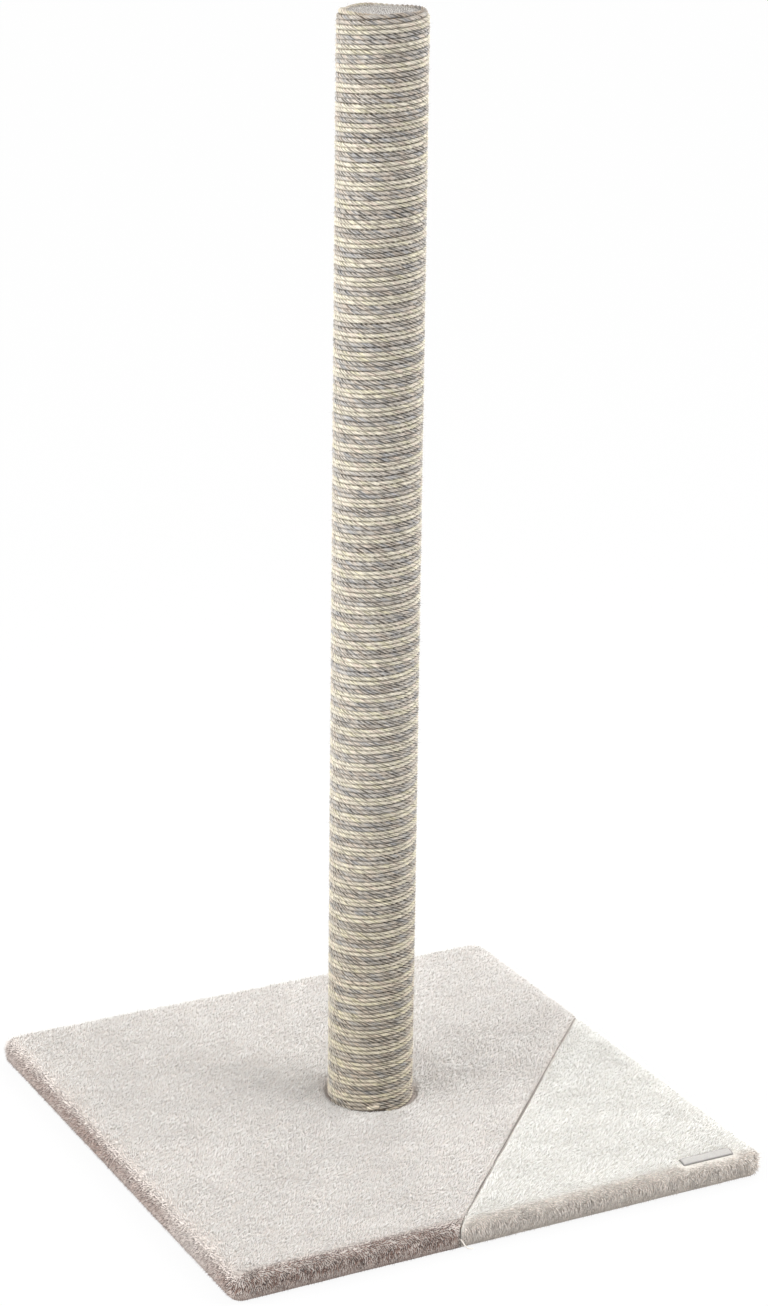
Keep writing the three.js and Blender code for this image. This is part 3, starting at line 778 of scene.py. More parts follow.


# the low colours are painted side shade on the beige and painted side light on the cream
beige_pile = plush_pile("beige plush pile", crease_shaded(plush_colour(
    root=(209, 203, 198), tip=(249, 248, 245), low_root=(110, 78, 65), low_tip=(222, 188, 172),
    locks=0.32, foot_shade=BEIGE_FOOT_SHADE,
)))
cream_pile = plush_pile("cream plush pile", plush_colour(
    root=(238, 236, 231), tip=(250, 250, 247), low_root=(250, 237, 227), low_tip=(255, 250, 243),
    locks=0.66, foot_shade=CREAM_FOOT_SHADE,
))
pile = pile_tree()
mark_pile(beige_skin)
mark_pile(cream_skin)
beige_tufts = [
    grown(f"pile_beige_{number}", beige_skin, pile, Material=beige_pile, **{"From X": start, "To X": end})
    for number, (start, end) in enumerate(zip(BEIGE_PILE_CUTS, BEIGE_PILE_CUTS[1:]), 1)
]
cream_tufts = [grown("pile_cream", cream_skin, pile, Material=cream_pile)]

for skin_object, tufts, slot_name, replaced in (
    (beige_skin, beige_tufts, "beige_plush",
     ("cover_beige", "hem_left", "hem_back", "hem_right_beige", "hem_front_beige")),
    (cream_skin, cream_tufts, "cream_plush", ("cover_cream", "hem_right_cream", "hem_front_cream")),
):
    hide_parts(*replaced)
    for piece in (skin_object, *tufts):
        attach(piece, "root")


# ---------------------------------------------------------------- sewn seam
# The panels are sewn face to face, so the seam is a thin fold that lies low between them, with the
# stitches of a grey thread in it. An end of pale thread is left loose at the foot of the seam.

FOLD_RADIUS = 0.0006
FOLD_SIDES = 8
SEAM_RIPPLE = 0.0011
SEAM_UNDER_BOARD = -0.0008  # how far it stands out there, where it is pressed in
STITCH_SPACING = 0.0041
STITCH_LENGTH = 0.0031
STITCH_RADIUS = 0.0004
LOOSE_END = ((0, 0, 0), (0.0006, -0.0022, 0.001), (0.0022, -0.0042, -0.0022), (0.0045, -0.0048, -0.0062),
             (0.0072, -0.0042, -0.0088), (0.0100, -0.0050, -0.0096), (0.0122, -0.0072, -0.0090))
LOOSE_END_HEIGHT = 0.0105
LOOSE_END_THICKNESS = 0.5
LOOSE_BELOW = 0.9  # a line thinner than this share is the loose end


def seam_line():
    """Points and outward directions along the bottom of the seam's valley, from hem to hem."""
    profile = [(half, height) for half, height, _ in outside_rings() if half > SKIN_HALF - HEM_WIDTH]
    slope = SEAM_ALONG.y / SEAM_ALONG.x
    front, right = [], []
    for number, (half, height) in enumerate(profile):
        before, after = profile[max(number - 1, 0)], profile[min(number + 1, len(profile) - 1)]
        out = Vector((before[1] - after[1], after[0] - before[0])).normalized()
        on_front = Vector((SEAM_FRONT.x + (-half - SEAM_FRONT.y) / slope, -half, height))
        on_right = Vector((half, SEAM_RIGHT.y + (half - SEAM_RIGHT.x) * slope, height))
        front.append((on_front, Vector((0, -out.x, out.y))))
        right.append((on_right, Vector((out.x, 0, out.y))))
    line = []
    for point, out in [*reversed(front), *right]:
        ripple = settled(point) + SEAM_RIPPLE * uneven(point, 0.016, 9)
        line.append((point + out * (ripple if out.z > -0.5 else SEAM_UNDER_BOARD), out))
    return line


def polyline(name, lines, **attributes):
    """A mesh of open lines, each a list of points, with attributes per point."""
    mesh = bpy.data.meshes.new(name)
    points = [point for line in lines for point in line]
    edges, first = [], 0
    for line in lines:
        edges += [(first + i, first + i + 1) for i in range(len(line) - 1)]
        first += len(line)
    mesh.from_pydata(points, edges, [])
    for label, values in attributes.items():
        kind, key = ("FLOAT_VECTOR", "vector") if hasattr(values[0], "__len__") else ("FLOAT", "value")
        written = mesh.attributes.new(label, kind, "POINT")
        written.data.foreach_set(key, np.array(values, dtype=np.float32).ravel())
    return new_object(name, mesh)


def swept(tree, curve, section):
    """A solid along a curve, with closed ends."""
    inputs = {"Curve": curve, "Profile Curve": section, "Fill Caps": True}
    return result(tree, "GeometryNodeCurveToMesh", inputs)


def joined(tree, *parts):
    """Parts as one geometry, in this order."""
    node = add(tree, "GeometryNodeJoinGeometry")
    for part in parts:
        tree.links.new(part, node.inputs[0])
    return node.outputs[0]


def seam_tree():
    """A round fold along each line, and stitches on the lines that aren't loose."""
    tree, given = geometry_tree("sewn seam", {
        "Fold Radius": FOLD_RADIUS, "Stitch Spacing": STITCH_SPACING,
        "Stitch Length": STITCH_LENGTH, "Stitch Radius": STITCH_RADIUS,
    })
    curve = result(tree, "GeometryNodeMeshToCurve", {"Mesh": given["Geometry"]})
    thick = result(tree, "GeometryNodeSetCurveRadius", {"Curve": curve, "Radius": named(tree, "thick")})
    ring = result(tree, "GeometryNodeCurvePrimitiveCircle", {
        "Resolution": FOLD_SIDES, "Radius": given["Fold Radius"],
    })
    spaced = result(tree, "GeometryNodeResampleCurve", {
        "Curve": curve, "Length": given["Stitch Spacing"],
    }, mode="LENGTH")
    lifted = scaled(tree, named(tree, "out", "FLOAT_VECTOR"), given["Fold Radius"])
    stitch = result(tree, "GeometryNodeMeshUVSphere", {"Segments": 6, "Rings": 5, "Radius": 1.0})
    size = result(tree, "ShaderNodeCombineXYZ", {
        0: given["Stitch Radius"], 1: given["Stitch Radius"],
        2: maths(tree, "MULTIPLY", given["Stitch Length"], 0.5),
    })
    stitch = result(tree, "GeometryNodeTransform", {"Geometry": stitch, "Scale": size})
    stitches = result(tree, "GeometryNodeInstanceOnPoints", {
        "Points": result(tree, "GeometryNodeSetPosition", {"Geometry": spaced, "Offset": lifted}),
        "Instance": stored(tree, stitch, "stitch", "FLOAT", 1.0),
        "Rotation": turned_to(tree, result(tree, "GeometryNodeInputTangent")),
        "Selection": maths(tree, "GREATER_THAN", named(tree, "thick"), LOOSE_BELOW),
    })
    finish_tree(tree, given, joined(tree, swept(tree, thick, ring), stitches))
    return tree


def thread_colour(tree):
    """The fuzzy fold, the grey thread of its stitches and the pale loose end."""
    loose = maths(tree, "LESS_THAN", layer(tree, "thick"), LOOSE_BELOW)
    fold = mottled(tree, 0.0008, 3, shade(176, 169, 162), shade(208, 201, 194))
    thread = mixed(tree, layer(tree, "stitch"), fold, shade(104, 98, 92))
    return mixed(tree, loose, thread, shade(232, 226, 217))


seam_points = seam_line()
loose_start = next(point for point, out in seam_points if point.z > LOOSE_END_HEIGHT)
loose_line = [loose_start + Vector(step) for step in LOOSE_END]
seam_path = polyline(
    "seam path", [[point for point, out in seam_points], loose_line],
    out=[*(out for point, out in seam_points), *[Vector((0, -1, 0))] * len(loose_line)],
    thick=[1.0] * len(seam_points) + [LOOSE_END_THICKNESS] * len(loose_line),
)
seam_thread = new_material("seam thread", thread_colour, 0.8, bump=(grain(0.0005, 2), 0.0002))
seam = grown("seam", seam_path, seam_tree(), Material=seam_thread)
bpy.data.objects.remove(seam_path)
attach(seam, "root")
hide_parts("sewn_seam")


# ---------------------------------------------------------------- label tape
# A blank woven tape of satin, sewn down into the plush behind the front edge of the cream corner.
# It bends with the edge, and its own edges and ends sink into the pile.

LABEL_LENGTH = 0.06
LABEL_WIDTH = 0.011
LABEL_THICKNESS = 0.0007
LABEL_TILT = math.radians(76)
LABEL_SETBACK = 0.0121
LABEL_HEIGHT = 0.0019
LABEL_RADIUS = 0.022
LABEL_COLUMNS = 62
LABEL_ROWS = 14
LABEL_END_SINKS = 0.0010
LABEL_EDGE_SINKS = 0.0006
LABEL_WAVE = 0.0003
SATIN_RIBS_PER_METRE = 500.0


def label_mesh():
    """A closed, bent strip. Its long edges and its ends sink into the pile."""
    centre = Vector((
        LABEL_MIDDLE.x,
        -SKIN_HALF + LABEL_SETBACK + LABEL_RADIUS * math.cos(LABEL_TILT),
        SKIN_TOP + LABEL_HEIGHT - LABEL_RADIUS * math.sin(LABEL_TILT),
    ))
    mesh = bmesh.new()
    border = mesh.verts.layers.float.new("border")

    def corner(face, i, j):
        along, across = i / LABEL_COLUMNS * 2 - 1, j / LABEL_ROWS * 2 - 1
        x = centre.x + along * LABEL_LENGTH / 2
        tilt = LABEL_TILT + across * LABEL_WIDTH / 2 / LABEL_RADIUS
        reach = LABEL_RADIUS + face * LABEL_THICKNESS
        reach -= LABEL_END_SINKS * abs(along) ** 14 + LABEL_EDGE_SINKS * abs(across) ** 4
        reach += LABEL_WAVE * uneven((x, tilt * LABEL_RADIUS, 0), 0.012, 5)
        vertex = mesh.verts.new((x, centre.y - reach * math.cos(tilt), centre.z + reach * math.sin(tilt)))
        vertex[border] = max(abs(across), 1 - (1 - abs(along)) * LABEL_LENGTH / LABEL_WIDTH)
        return vertex

    under, over = (
        [[corner(face, i, j) for j in range(LABEL_ROWS + 1)] for i in range(LABEL_COLUMNS + 1)]
        for face in (0, 1)
    )
    for i in range(LABEL_COLUMNS):
        for j in range(LABEL_ROWS):
            for rows in (under, over):
                mesh.faces.new((rows[i][j], rows[i + 1][j], rows[i + 1][j + 1], rows[i][j + 1]))
    rim = [(i, 0) for i in range(LABEL_COLUMNS)]
    rim += [(LABEL_COLUMNS, j) for j in range(LABEL_ROWS)]
    rim += [(i, LABEL_ROWS) for i in range(LABEL_COLUMNS, 0, -1)]
    rim += [(0, j) for j in range(LABEL_ROWS, 0, -1)]
    for (i, j), (k, m) in zip(rim, rim[1:] + rim[:1]):
        mesh.faces.new((under[i][j], under[k][m], over[k][m], over[i][j]))
    bmesh.ops.recalc_face_normals(mesh, faces=mesh.faces)
    return mesh


def satin_ribs(tree):
    """The fine ribs of the weave, from 0 to 1."""
    inputs = {"Vector": place(tree), "Scale": SATIN_RIBS_PER_METRE, "Distortion": 1.0}
    return add(tree, "ShaderNodeTexWave", inputs, bands_direction="X").outputs["Fac"]


def satin_colour(tree):
    """Grey satin in fine ribs, with faint wear, and darker edges and ends: a woven selvedge deepened by
    painted shade where they sink into the pile.
    """
    satin = between(tree, satin_ribs(tree), 0, 1, shade(150, 147, 143), shade(174, 171, 167))
    # the darker edges and ends: a woven selvedge, and painted shade where they sink into the pile
    selvedge_and_shade = between(tree, layer(tree, "border"), 0.66, 0.86, WHITE, (0.45, 0.45, 0.45))
    return times(tree, satin, selvedge_and_shade, mottled(tree, 0.006, 3, 0.93, 1.0, span=(0.35, 0.65)))


satin = new_material("label satin", satin_colour, 0.55, bump=(satin_ribs, 0.00008), sheen=0.1)
label = made_of("label", label_mesh(), satin)
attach(label, "root")
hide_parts("label_tape")


# ---------------------------------------------------------------- staples
# Flat steel wire, driven up through the turned-under margin into the board, six along each side.
# The wire is bright, and finely scratched along its legs.

ALONG_LEGS = (1, 1, 0.2)

staple_wire = new_material(
    "staple wire",
    lambda tree: mottled(tree, 0.002, 3, shade(186, 186, 184), shade(212, 212, 210)),
    lambda tree: mottled(tree, 0.0008, 4, 0.28, 0.45, stretch=ALONG_LEGS),
    metallic=1.0, bump=(grain(0.0006, 3, ALONG_LEGS), 0.00004),
)
dress(staple_wire, *staples)


# ---------------------------------------------------------------- tube and plugs
# A wound cardboard tube stands on the board. Turned pine plugs close its ends, nailed through the
# wall, and the lower one holds a flanged steel insert for the bolt.

PAPER_STRIP_WIDTH = 0.11
JOINT_SHARE = 0.02
JOINT_SHADE = (0.55, 0.5, 0.45)
ALONG_GRAIN = (1, 1, 0.1)
YEAR_RINGS_PER_METRE = 90.0
ZINC_CRYSTAL = 1 / 900


def kraft_colour(tree):
    """Brown paper, with the thin dark joint of the strip that the tube is wound from."""
    parts = axes(tree, place(tree))
    turn = maths(tree, "DIVIDE", maths(tree, "ARCTAN2", parts["Y"], parts["X"]), math.tau)
    climb = maths(tree, "DIVIDE", parts["Z"], PAPER_STRIP_WIDTH)
    strip = maths(tree, "FRACT", maths(tree, "ADD", turn, climb))
    joint = between(tree, strip, 0.0, JOINT_SHARE, JOINT_SHADE, WHITE)
    paper = mottled(tree, 0.004, 5, shade(160, 130, 96), shade(186, 157, 120), stretch=(1, 1, 3))
    return times(tree, paper, joint)


def pine_colour(tree):
    """Turned pine, with year rings seen from their side and end."""
    rings = add(tree, "ShaderNodeTexWave", {
        "Vector": place(tree, (1, 1, 0.12)), "Scale": YEAR_RINGS_PER_METRE, "Distortion": 6.0,
        "Detail": 3.0, "Detail Scale": 1.2,
    }, wave_type="RINGS", rings_direction="Z").outputs["Fac"]
    wood = between(tree, rings, 0.1, 0.95, shade(228, 199, 150), shade(214, 178, 124), shade(186, 144, 92))
    pores = mottled(tree, 0.0015, 4, 0.88, 1.0, stretch=ALONG_GRAIN, span=(0.35, 0.65))
    return times(tree, wood, pores)


def zinc_colour(tree):
    """Bright zinc plating, whose crystals each have their own tone."""
    tone = cell_tone(tree, place(tree), ZINC_CRYSTAL)
    return between(tree, tone, 0, 1, shade(190, 194, 198), shade(214, 217, 219), shade(224, 222, 214))


cardboard = new_material("cardboard", kraft_colour, 0.85, bump=(grain(0.002, 4, (1, 1, 4)), 0.0002))
pine = new_material("turned pine", pine_colour, 0.65, bump=(grain(0.001, 3, ALONG_GRAIN), 0.0001))
zinc_steel = new_material(
    "zinc-plated steel", zinc_colour, lambda tree: mottled(tree, 0.003, 4, 0.24, 0.42),
    metallic=1.0, bump=(grain(0.0015, 3), 0.00004),
)
dress(cardboard, "post_tube")
dress(pine, "bottom_plug", "top_plug")
dress(zinc_steel, "threaded_insert", "base_bolt", "base_washer", *(f"plug_nail_{i}" for i in range(1, 7)))


# ---------------------------------------------------------------- ropes
# Two grey and two cream ropes, each laid from four strands, climb the tube side by side in glue, a
# quarter turn apart. At the foot they dive into the plush, where one cut end lies against the post,
# and at the top they curl in over the rim.

ROPE_RADIUS = 0.00265
ROPE_STRANDS = 4
STRAND_GROOVE = 0.3
STRAND_LAY = 0.021
LAY_DRIFT = 0.007  # the lay is pulled longer and shorter by this much as the rope is wound
ROPE_STEP = 0.0016
FIBRES_PER_SQUARE_METRE = 15000.0
FIBRE_LENGTH = 0.006
FIBRE_RADIUS = 0.0001
ROPE_LEAD = 0.01848
FIRST_ROPE_ANGLE = math.radians(-85)
ROPE_ORDER = ("grey_1", "grey_2", "cream_1", "cream_2")
FOOT_TURN = math.radians(100)
CUT_END = (math.radians(-121), math.radians(-106))
CUT_END_REACH = 0.0026
CUT_END_HEIGHT = 0.0012
CUT_END_STEPS = 8
HEAD_RISE_TURN = math.radians(90)
HEAD_TUCK_TURN = math.radians(62)
SOLID_ROPE_RADIUS = 0.002035  # of the windings in the solids, whose middle line the rope follows
TUBE_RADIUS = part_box("post_tube")[1].x
TUBE_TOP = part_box("post_tube")[1].z
ROPE_CENTRE_RADIUS = TUBE_RADIUS + ROPE_RADIUS
RIM_RADIUS = 0.0399
TUCKED_RADIUS = 0.0362
TUCKED_HEIGHT = TUBE_TOP + 0.0012
WOUND_RADIUS = 0.04  # where unevenness along the winding is measured
ROWS_WAVER = 0.0007  # how far all the ropes waver up and down together
ROPE_WAVERS = 0.0006  # and how far each does by itself
ROPE_STANDS_OUT = 0.0005
ROPE_SWELLS = 0.035  # a share of its thickness
STEADY_TURN = 6  # the turn over which, from both ends, a rope comes to waver
ROPE_SHADE_HEIGHTS = (0.03, 0.45)  # the rope is darker from the floor up to here, a painted shade
LOW_ROPE_SHADE = (0.95, 0.92, 0.86)
# painted shade in the grooves between the strands
GROOVE_SHADE = (0.10, 0.085, 0.07)
# the painted shade between the rows ends between these distances from the axis
ROW_GAP = (ROPE_CENTRE_RADIUS - 0.0003, ROPE_CENTRE_RADIUS + 0.0012)
# the painted shade between the rows, and the darker one near the floor
ROW_GAP_SHADE = (0.54, 0.49, 0.44)
LOW_GAP_SHADE = (0.24, 0.20, 0.16)
ROW_GAP_ENDS = 0.006
ROPE_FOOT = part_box("rope_grey_1_foot")[0].z + SOLID_ROPE_RADIUS
ROPE_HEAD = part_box("rope_grey_1_head")[1].z - SOLID_ROPE_RADIUS


def ease(share):
    """A share from 0 to 1, slow at its start and end."""
    share = held(share)
    return share * share * (3 - 2 * share)


def polar(radius, angle, height):
    """A point at a distance from the post's axis, in a direction."""
    return (radius * math.cos(angle), radius * math.sin(angle), height)


def rope_line(start_angle, seed):
    """Points along a rope's middle with its thickness there, from under the plush to under the cap."""
    head_turn = math.tau * (ROPE_HEAD - ROPE_FOOT) / ROPE_LEAD
    last_turn = head_turn + HEAD_RISE_TURN + HEAD_TUCK_TURN
    count = round((last_turn + FOOT_TURN) / (ROPE_STEP / ROPE_CENTRE_RADIUS))
    points, thick = [], []
    for i in range(count + 1):
        turn = -FOOT_TURN + (last_turn + FOOT_TURN) * i / count
        angle = start_angle + turn
        wound = turn * WOUND_RADIUS
        height = ROPE_FOOT + ROPE_LEAD * min(turn, head_turn + HEAD_RISE_TURN) / math.tau
        rise = ease((turn - head_turn) / HEAD_RISE_TURN)
        tuck = ease((turn - head_turn - HEAD_RISE_TURN) / HEAD_TUCK_TURN)
        radius = ROPE_CENTRE_RADIUS + (RIM_RADIUS - ROPE_CENTRE_RADIUS) * rise
        radius += (TUCKED_RADIUS - RIM_RADIUS) * tuck
        height += (TUCKED_HEIGHT - height) * tuck
        fade = ease(turn / STEADY_TURN) * ease((head_turn - turn) / STEADY_TURN)
        together = ROWS_WAVER * uneven(polar(WOUND_RADIUS, angle, height), 0.05, 21)
        height += fade * (together + ROPE_WAVERS * uneven((wound, seed, 0), 0.045, 22))
        radius += ROPE_STANDS_OUT * uneven((wound, seed, 0.5), 0.04, 23)
        points.append(polar(radius, angle, height))
        thick.append(1 + ROPE_SWELLS * uneven((wound, seed, 0.9), 0.03, 24))
    return points, thick


def cut_end():
    """A short end of rope that lies against the foot of the post, fraying thinner towards its tip."""
    points, thick = [], []
    for i in range(CUT_END_STEPS + 1):
        share = i / CUT_END_STEPS
        angle = CUT_END[0] + (CUT_END[1] - CUT_END[0]) * share
        radius = ROPE_CENTRE_RADIUS + CUT_END_REACH * math.sin(math.pi * (0.25 + 0.6 * share))
        points.append(polar(radius, angle, ROPE_FOOT + CUT_END_HEIGHT * share))
        thick.append(0.62 + 0.3 * share)
    return points, thick


def rope_tree():
    """A round rope of strands along a line, twisted once in each lay."""
    tree, given = geometry_tree("laid rope", {
        "Strands": ROPE_STRANDS, "Radius": ROPE_RADIUS, "Groove": STRAND_GROOVE, "Lay": STRAND_LAY,
        "Fibres": FIBRES_PER_SQUARE_METRE, "Fibre Length": FIBRE_LENGTH,
    })
    curve = result(tree, "GeometryNodeMeshToCurve", {"Mesh": given["Geometry"]})
    curve = result(tree, "GeometryNodeSetCurveNormal", {"Curve": curve}, mode="Z_UP")
    curve = result(tree, "GeometryNodeSetCurveRadius", {"Curve": curve, "Radius": named(tree, "thick")})
    twist = maths(tree, "MULTIPLY", maths(tree, "DIVIDE", named(tree, "along"), given["Lay"]), math.tau)
    curve = result(tree, "GeometryNodeSetCurveTilt", {"Curve": curve, "Tilt": twist})
    # the rope's section: every second corner of a ring lies low, in a groove
    sides = maths(tree, "MULTIPLY", given["Strands"], 2.0)
    ring = result(tree, "GeometryNodeCurvePrimitiveCircle", {"Resolution": sides, "Radius": 1.0})
    ring = stored(tree, ring, "ring", "FLOAT_VECTOR", here(tree))
    number = result(tree, "GeometryNodeInputIndex")
    valley = maths(tree, "COMPARE", maths(tree, "MODULO", number, 2.0), 0.0, 0.1)
    ring = stored(tree, ring, "groove", "FLOAT", valley)
    reach = maths(tree, "SUBTRACT", 1.0, maths(tree, "MULTIPLY", valley, given["Groove"]))
    reach = maths(tree, "MULTIPLY", reach, given["Radius"])
    ring = result(tree, "GeometryNodeSetPosition", {
        "Geometry": ring, "Position": scaled(tree, here(tree), reach),
    })
    rope = swept(tree, curve, ring)
    # a few fibres have worked loose, and stand off it every way
    roots = add(tree, "GeometryNodeDistributePointsOnFaces", {
        "Mesh": rope, "Density": given["Fibres"], "Seed": 3,
    })
    stray = drawn(tree, (-1.4, -1.4, -0.7), (1.4, 1.4, 0.7), 4)
    fibres = result(tree, "GeometryNodeInstanceOnPoints", {
        "Points": roots.outputs["Points"],
        "Instance": spike(tree, FIBRE_RADIUS, given["Fibre Length"]),
        "Rotation": turned_to(tree, vectors(tree, "ADD", roots.outputs["Normal"], stray)),
        "Scale": drawn(tree, 0.4, 1.0, 5),
    })
    finish_tree(tree, given, joined(tree, rope, fibres))
    return tree


def strand_noise(tree, along_size, across_size, detail):
    """Noise in the rope's own frame: lumps this long, and this wide on a rope of radius 1."""
    along = layer(tree, "along")
    ring = axes(tree, add(tree, "ShaderNodeAttribute", attribute_name="ring").outputs["Vector"])
    point = result(tree, "ShaderNodeCombineXYZ", {
        0: maths(tree, "DIVIDE", along, along_size),
        1: maths(tree, "DIVIDE", ring["X"], across_size),
        2: maths(tree, "DIVIDE", ring["Y"], across_size),
    })
    return noise_at(tree, point, 1.0, detail)


def rope_colour(main, second, third, streak, deep):
    """Fibres dyed unevenly: three tones in long patches and streaks, with a painted shade that darkens them
    towards the floor. The last two are how dark the streaks are, and how much of the painted shade in the
    grooves and between the rows shows."""
    def colour(tree):
        patches = strand_noise(tree, 0.035, 1.6, 2)
        tone = between(tree, patches, 0.3, 0.7, shade(*second), shade(*main), shade(*third))
        streaks = between(tree, strand_noise(tree, 0.009, 0.42, 3), 0.34, 0.66, streak, 1.15)
        # painted shade in the grooves between the strands, filled in at random places
        depth = between(tree, layer(tree, "groove"), 0.1, 0.62, WHITE, GROOVE_SHADE)
        filled = between(tree, strand_noise(tree, 0.012, 0.8, 2), 0.38, 0.60, 0.0, 0.8)
        depth = mixed(tree, deep, WHITE, mixed(tree, filled, depth, WHITE))
        # painted shade, darker towards the floor
        lower_shade = between(tree, axes(tree, place(tree))["Z"], *ROPE_SHADE_HEIGHTS, LOW_ROPE_SHADE, WHITE)
        fibre = times(tree, tone, streaks, depth, lower_shade)
        return mixed(tree, deep, fibre, between_rows(tree), "MULTIPLY")
    return colour


def between_rows(tree):
    """Painted shade deep between the rows, darker near the floor, up to where they curl in."""
    height = axes(tree, place(tree))["Z"]
    low_gaps, gaps = (
        between(tree, from_axis(tree), *ROW_GAP, gap_shade, WHITE)
        for gap_shade in (LOW_GAP_SHADE, ROW_GAP_SHADE)
    )
    deep = mixed(tree, between(tree, height, *ROPE_SHADE_HEIGHTS, 0.0, 1.0), low_gaps, gaps)
    rim = between(tree, height, ROPE_HEAD - ROW_GAP_ENDS, ROPE_HEAD, 0.0, 1.0)
    return mixed(tree, rim, deep, WHITE)


def rope_fibre(name, colour):
    """The material of a rope, whose fibres stand in fine relief."""
    fibres = (lambda tree: strand_noise(tree, 0.004, 0.14, 2), 0.0004)
    return new_material(name, colour, 0.85, bump=fibres, sheen=0.1)


rope_fibres = {
    "grey_rope": rope_fibre("grey rope", rope_colour(
        main=(226, 221, 212), second=(196, 198, 202), third=(235, 222, 208), streak=0.64, deep=1.0,
    )),
    "cream_rope": rope_fibre("cream rope", rope_colour(
        main=(241, 236, 220), second=(243, 237, 208), third=(242, 228, 213), streak=0.76, deep=0.82,
    )),
}
laid_rope = rope_tree()
for number, rope_name in enumerate(ROPE_ORDER):
    lines = [rope_line(FIRST_ROPE_ANGLE - number * math.pi / 2, number * 0.7)]
    if rope_name == "cream_2":
        lines.append(cut_end())
    along = []
    for points, thick in lines:
        steps = np.linalg.norm(np.diff(np.array(points), axis=0), axis=1)
        lengths = [0, *np.cumsum(steps).tolist()]
        along += [length + LAY_DRIFT * uneven((length, number, 0), 0.15, 41) for length in lengths]
    path = polyline(
        f"{rope_name} path", [points for points, thick in lines],
        along=along, thick=[value for points, thick in lines for value in thick],
    )
    slot_name = "grey_rope" if rope_name.startswith("grey") else "cream_rope"
    rope = grown(f"rope_{rope_name}", path, laid_rope, Material=rope_fibres[slot_name])
    bpy.data.objects.remove(path)
    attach(rope, "root")
    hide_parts(f"rope_{rope_name}_foot", f"rope_{rope_name}_head", "rope_layer")


# ---------------------------------------------------------------- top cap
# A disc of grey plush, a little domed. It is glued on the top plug, inside the ring of rope ends,
# and its pile stands on its top only.

CAP_RADIUS = 0.0368
CAP_RIM_HEIGHT = 0.0016
CAP_DOME = 0.0014
CAP_WAVE = 0.0003
CAP_RINGS = 12
CAP_COLUMNS = 72
CAP_PILE = 0.5
CAP_PILE_SPACING = 0.0017
CAP_NAP = (0.25, -0.1, 0)

cap_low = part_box("top_cap")[0].z
cap_rim = cap_low + CAP_RIM_HEIGHT


def cap_profile():
    """[radius, height] of the disc's rings, from its underside over the rim to the dome."""
    profile = [(CAP_RADIUS * (i / 4), cap_low) for i in range(1, 5)]
    profile += [(CAP_RADIUS + 0.0004, cap_low + CAP_RIM_HEIGHT * 0.6), (CAP_RADIUS - 0.0003, cap_rim)]
    for i in range(1, CAP_RINGS):
        share = i / CAP_RINGS
        dome = CAP_DOME * math.sin(math.pi / 2 * i / CAP_RINGS)
        profile.append((CAP_RADIUS * (1 - share) ** 0.9 - 0.0006, cap_rim + dome))
    return profile


mesh = bmesh.new()
cap_rings = []
for radius, height in cap_profile():
    cap_ring = []
    for column in range(CAP_COLUMNS):
        point = Vector(polar(radius, math.tau * column / CAP_COLUMNS, height))
        if height > cap_low:
            point.z += CAP_WAVE * uneven(point, 0.014, 31)
        cap_ring.append(mesh.verts.new(point))
    cap_rings.append(cap_ring)
for lower, upper in zip(cap_rings, cap_rings[1:]):
    for i in range(CAP_COLUMNS):
        mesh.faces.new((lower[i], lower[(i + 1) % CAP_COLUMNS], upper[(i + 1) % CAP_COLUMNS], upper[i]))
bottom = mesh.verts.new((0, 0, cap_low))
top = mesh.verts.new((0, 0, cap_rim + CAP_DOME))
for i in range(CAP_COLUMNS):
    mesh.faces.new((bottom, cap_rings[0][(i + 1) % CAP_COLUMNS], cap_rings[0][i]))
    mesh.faces.new((top, cap_rings[-1][i], cap_rings[-1][(i + 1) % CAP_COLUMNS]))
bmesh.ops.recalc_face_normals(mesh, faces=mesh.faces)
cap_ground = plush_ground("grey plush ground", knitted_backing((186, 182, 177), (160, 156, 151)))
cap = made_of("cap", mesh, cap_ground)
grows, _, nap = pile_layers(cap.data)
for number, vertex in enumerate(cap.data.vertices):
    grows[number].value = CAP_PILE if vertex.co.z > cap_low + CAP_RIM_HEIGHT * 0.8 else 0.0
    nap[number].vector = CAP_NAP
# the darker roots of the cap's pile are a painted shade
cap_pile = plush_pile("grey plush pile", plush_colour(
    root=(118, 114, 110), tip=(210, 205, 199), low_root=(118, 114, 110), low_tip=(210, 205, 199), locks=1.0,
))
cap_tufts = grown("pile_cap", cap, pile, Material=cap_pile, Spacing=CAP_PILE_SPACING)
for piece in (cap, cap_tufts):
    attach(piece, "root")
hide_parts("top_cap")


# ---------------------------------------------------------------- the studio
# A pale floor and wide soft lamps at both sides, so that the post is light at its edges. The floor and
# the world behind it show white to the camera, and the floor keeps the object's soft shadow.

FLOOR_HALF = 30
FLOOR_WHITE = 0.6
BACKDROP_SHARE = (0.92, 0.985)
BACKDROP_REACH = (0.9, 2.6)
AMBIENT = 0.84
LAMPS = (
    # name, spot, aim, size, power
    ("left softbox", (-2.75, -0.1, 1.75), (0, 0, 0.6), 2.6, 114),
    ("right softbox", (2.55, -1.25, 1.85), (0, 0, 0.6), 3.6, 126),
    ("top softbox", (0.95, 1.05, 1.9), (0.1, 0.1, 0), 1.8, 22),
)


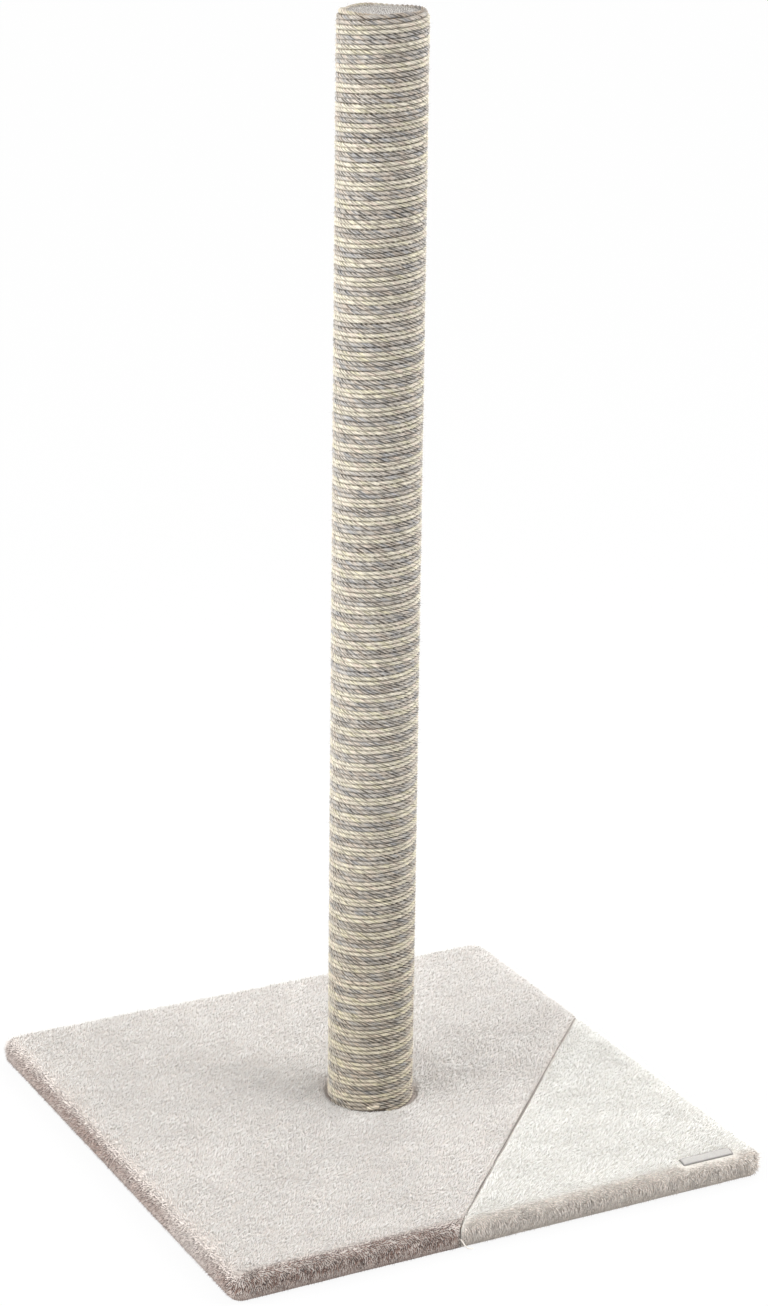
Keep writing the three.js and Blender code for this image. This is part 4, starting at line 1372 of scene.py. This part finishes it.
def seen_directly(tree):
    """1 for rays from the camera and for what metal or glass mirrors, else 0."""
    path = add(tree, "ShaderNodeLightPath").outputs
    mirrored = maths(tree, "MAXIMUM", path["Is Glossy Ray"], path["Is Transmission Ray"])
    return maths(tree, "MAXIMUM", path["Is Camera Ray"], mirrored)


def emptied(owner):
    """The empty node tree of a material or a world."""
    owner.use_nodes = True
    owner.node_tree.nodes.clear()
    return owner.node_tree


floor_mesh = bpy.data.meshes.new("floor")
floor_corners = ((-1, -1), (1, -1), (1, 1), (-1, 1))
floor_mesh.from_pydata([(x * FLOOR_HALF, y * FLOOR_HALF, 0) for x, y in floor_corners], [], [(0, 1, 2, 3)])
floor = new_object("floor", floor_mesh)
floor_white = bpy.data.materials.new("floor")
tree = emptied(floor_white)
matt = result(tree, "ShaderNodeBsdfDiffuse", {"Color": (FLOOR_WHITE, FLOOR_WHITE, FLOOR_WHITE, 1)})
bright = result(tree, "ShaderNodeEmission", {"Color": (1, 1, 1, 1), "Strength": 1.0})
share = result(tree, "ShaderNodeMapRange", {
    0: vectors(tree, "LENGTH", place(tree)), 1: BACKDROP_REACH[0], 2: BACKDROP_REACH[1],
    3: BACKDROP_SHARE[0], 4: BACKDROP_SHARE[1],
})
share = maths(tree, "MULTIPLY", seen_directly(tree), share)
both = result(tree, "ShaderNodeMixShader", {0: share, 1: matt, 2: bright})
add(tree, "ShaderNodeOutputMaterial", {"Surface": both})
floor_mesh.materials.append(floor_white)

world = bpy.data.worlds.new("studio")
tree = emptied(world)
strength = result(tree, "ShaderNodeMix", {
    "Factor": seen_directly(tree), 2: AMBIENT, 3: 1.0,
}, data_type="FLOAT")
sky = result(tree, "ShaderNodeBackground", {"Color": (1, 1, 1, 1), "Strength": strength})
add(tree, "ShaderNodeOutputWorld", {"Surface": sky})
scene.world = world

for name, spot, aim, size, power in LAMPS:
    lamp = new_object(name, bpy.data.lights.new(name, "AREA"))
    lamp.data.shape = "SQUARE"
    lamp.data.size = size
    lamp.data.energy = power
    lamp.location = spot
    lamp.rotation_mode = "QUATERNION"
    lamp.rotation_quaternion = (Vector(spot) - Vector(aim)).to_track_quat("Z", "Y")
scene.view_settings.view_transform = "Standard"
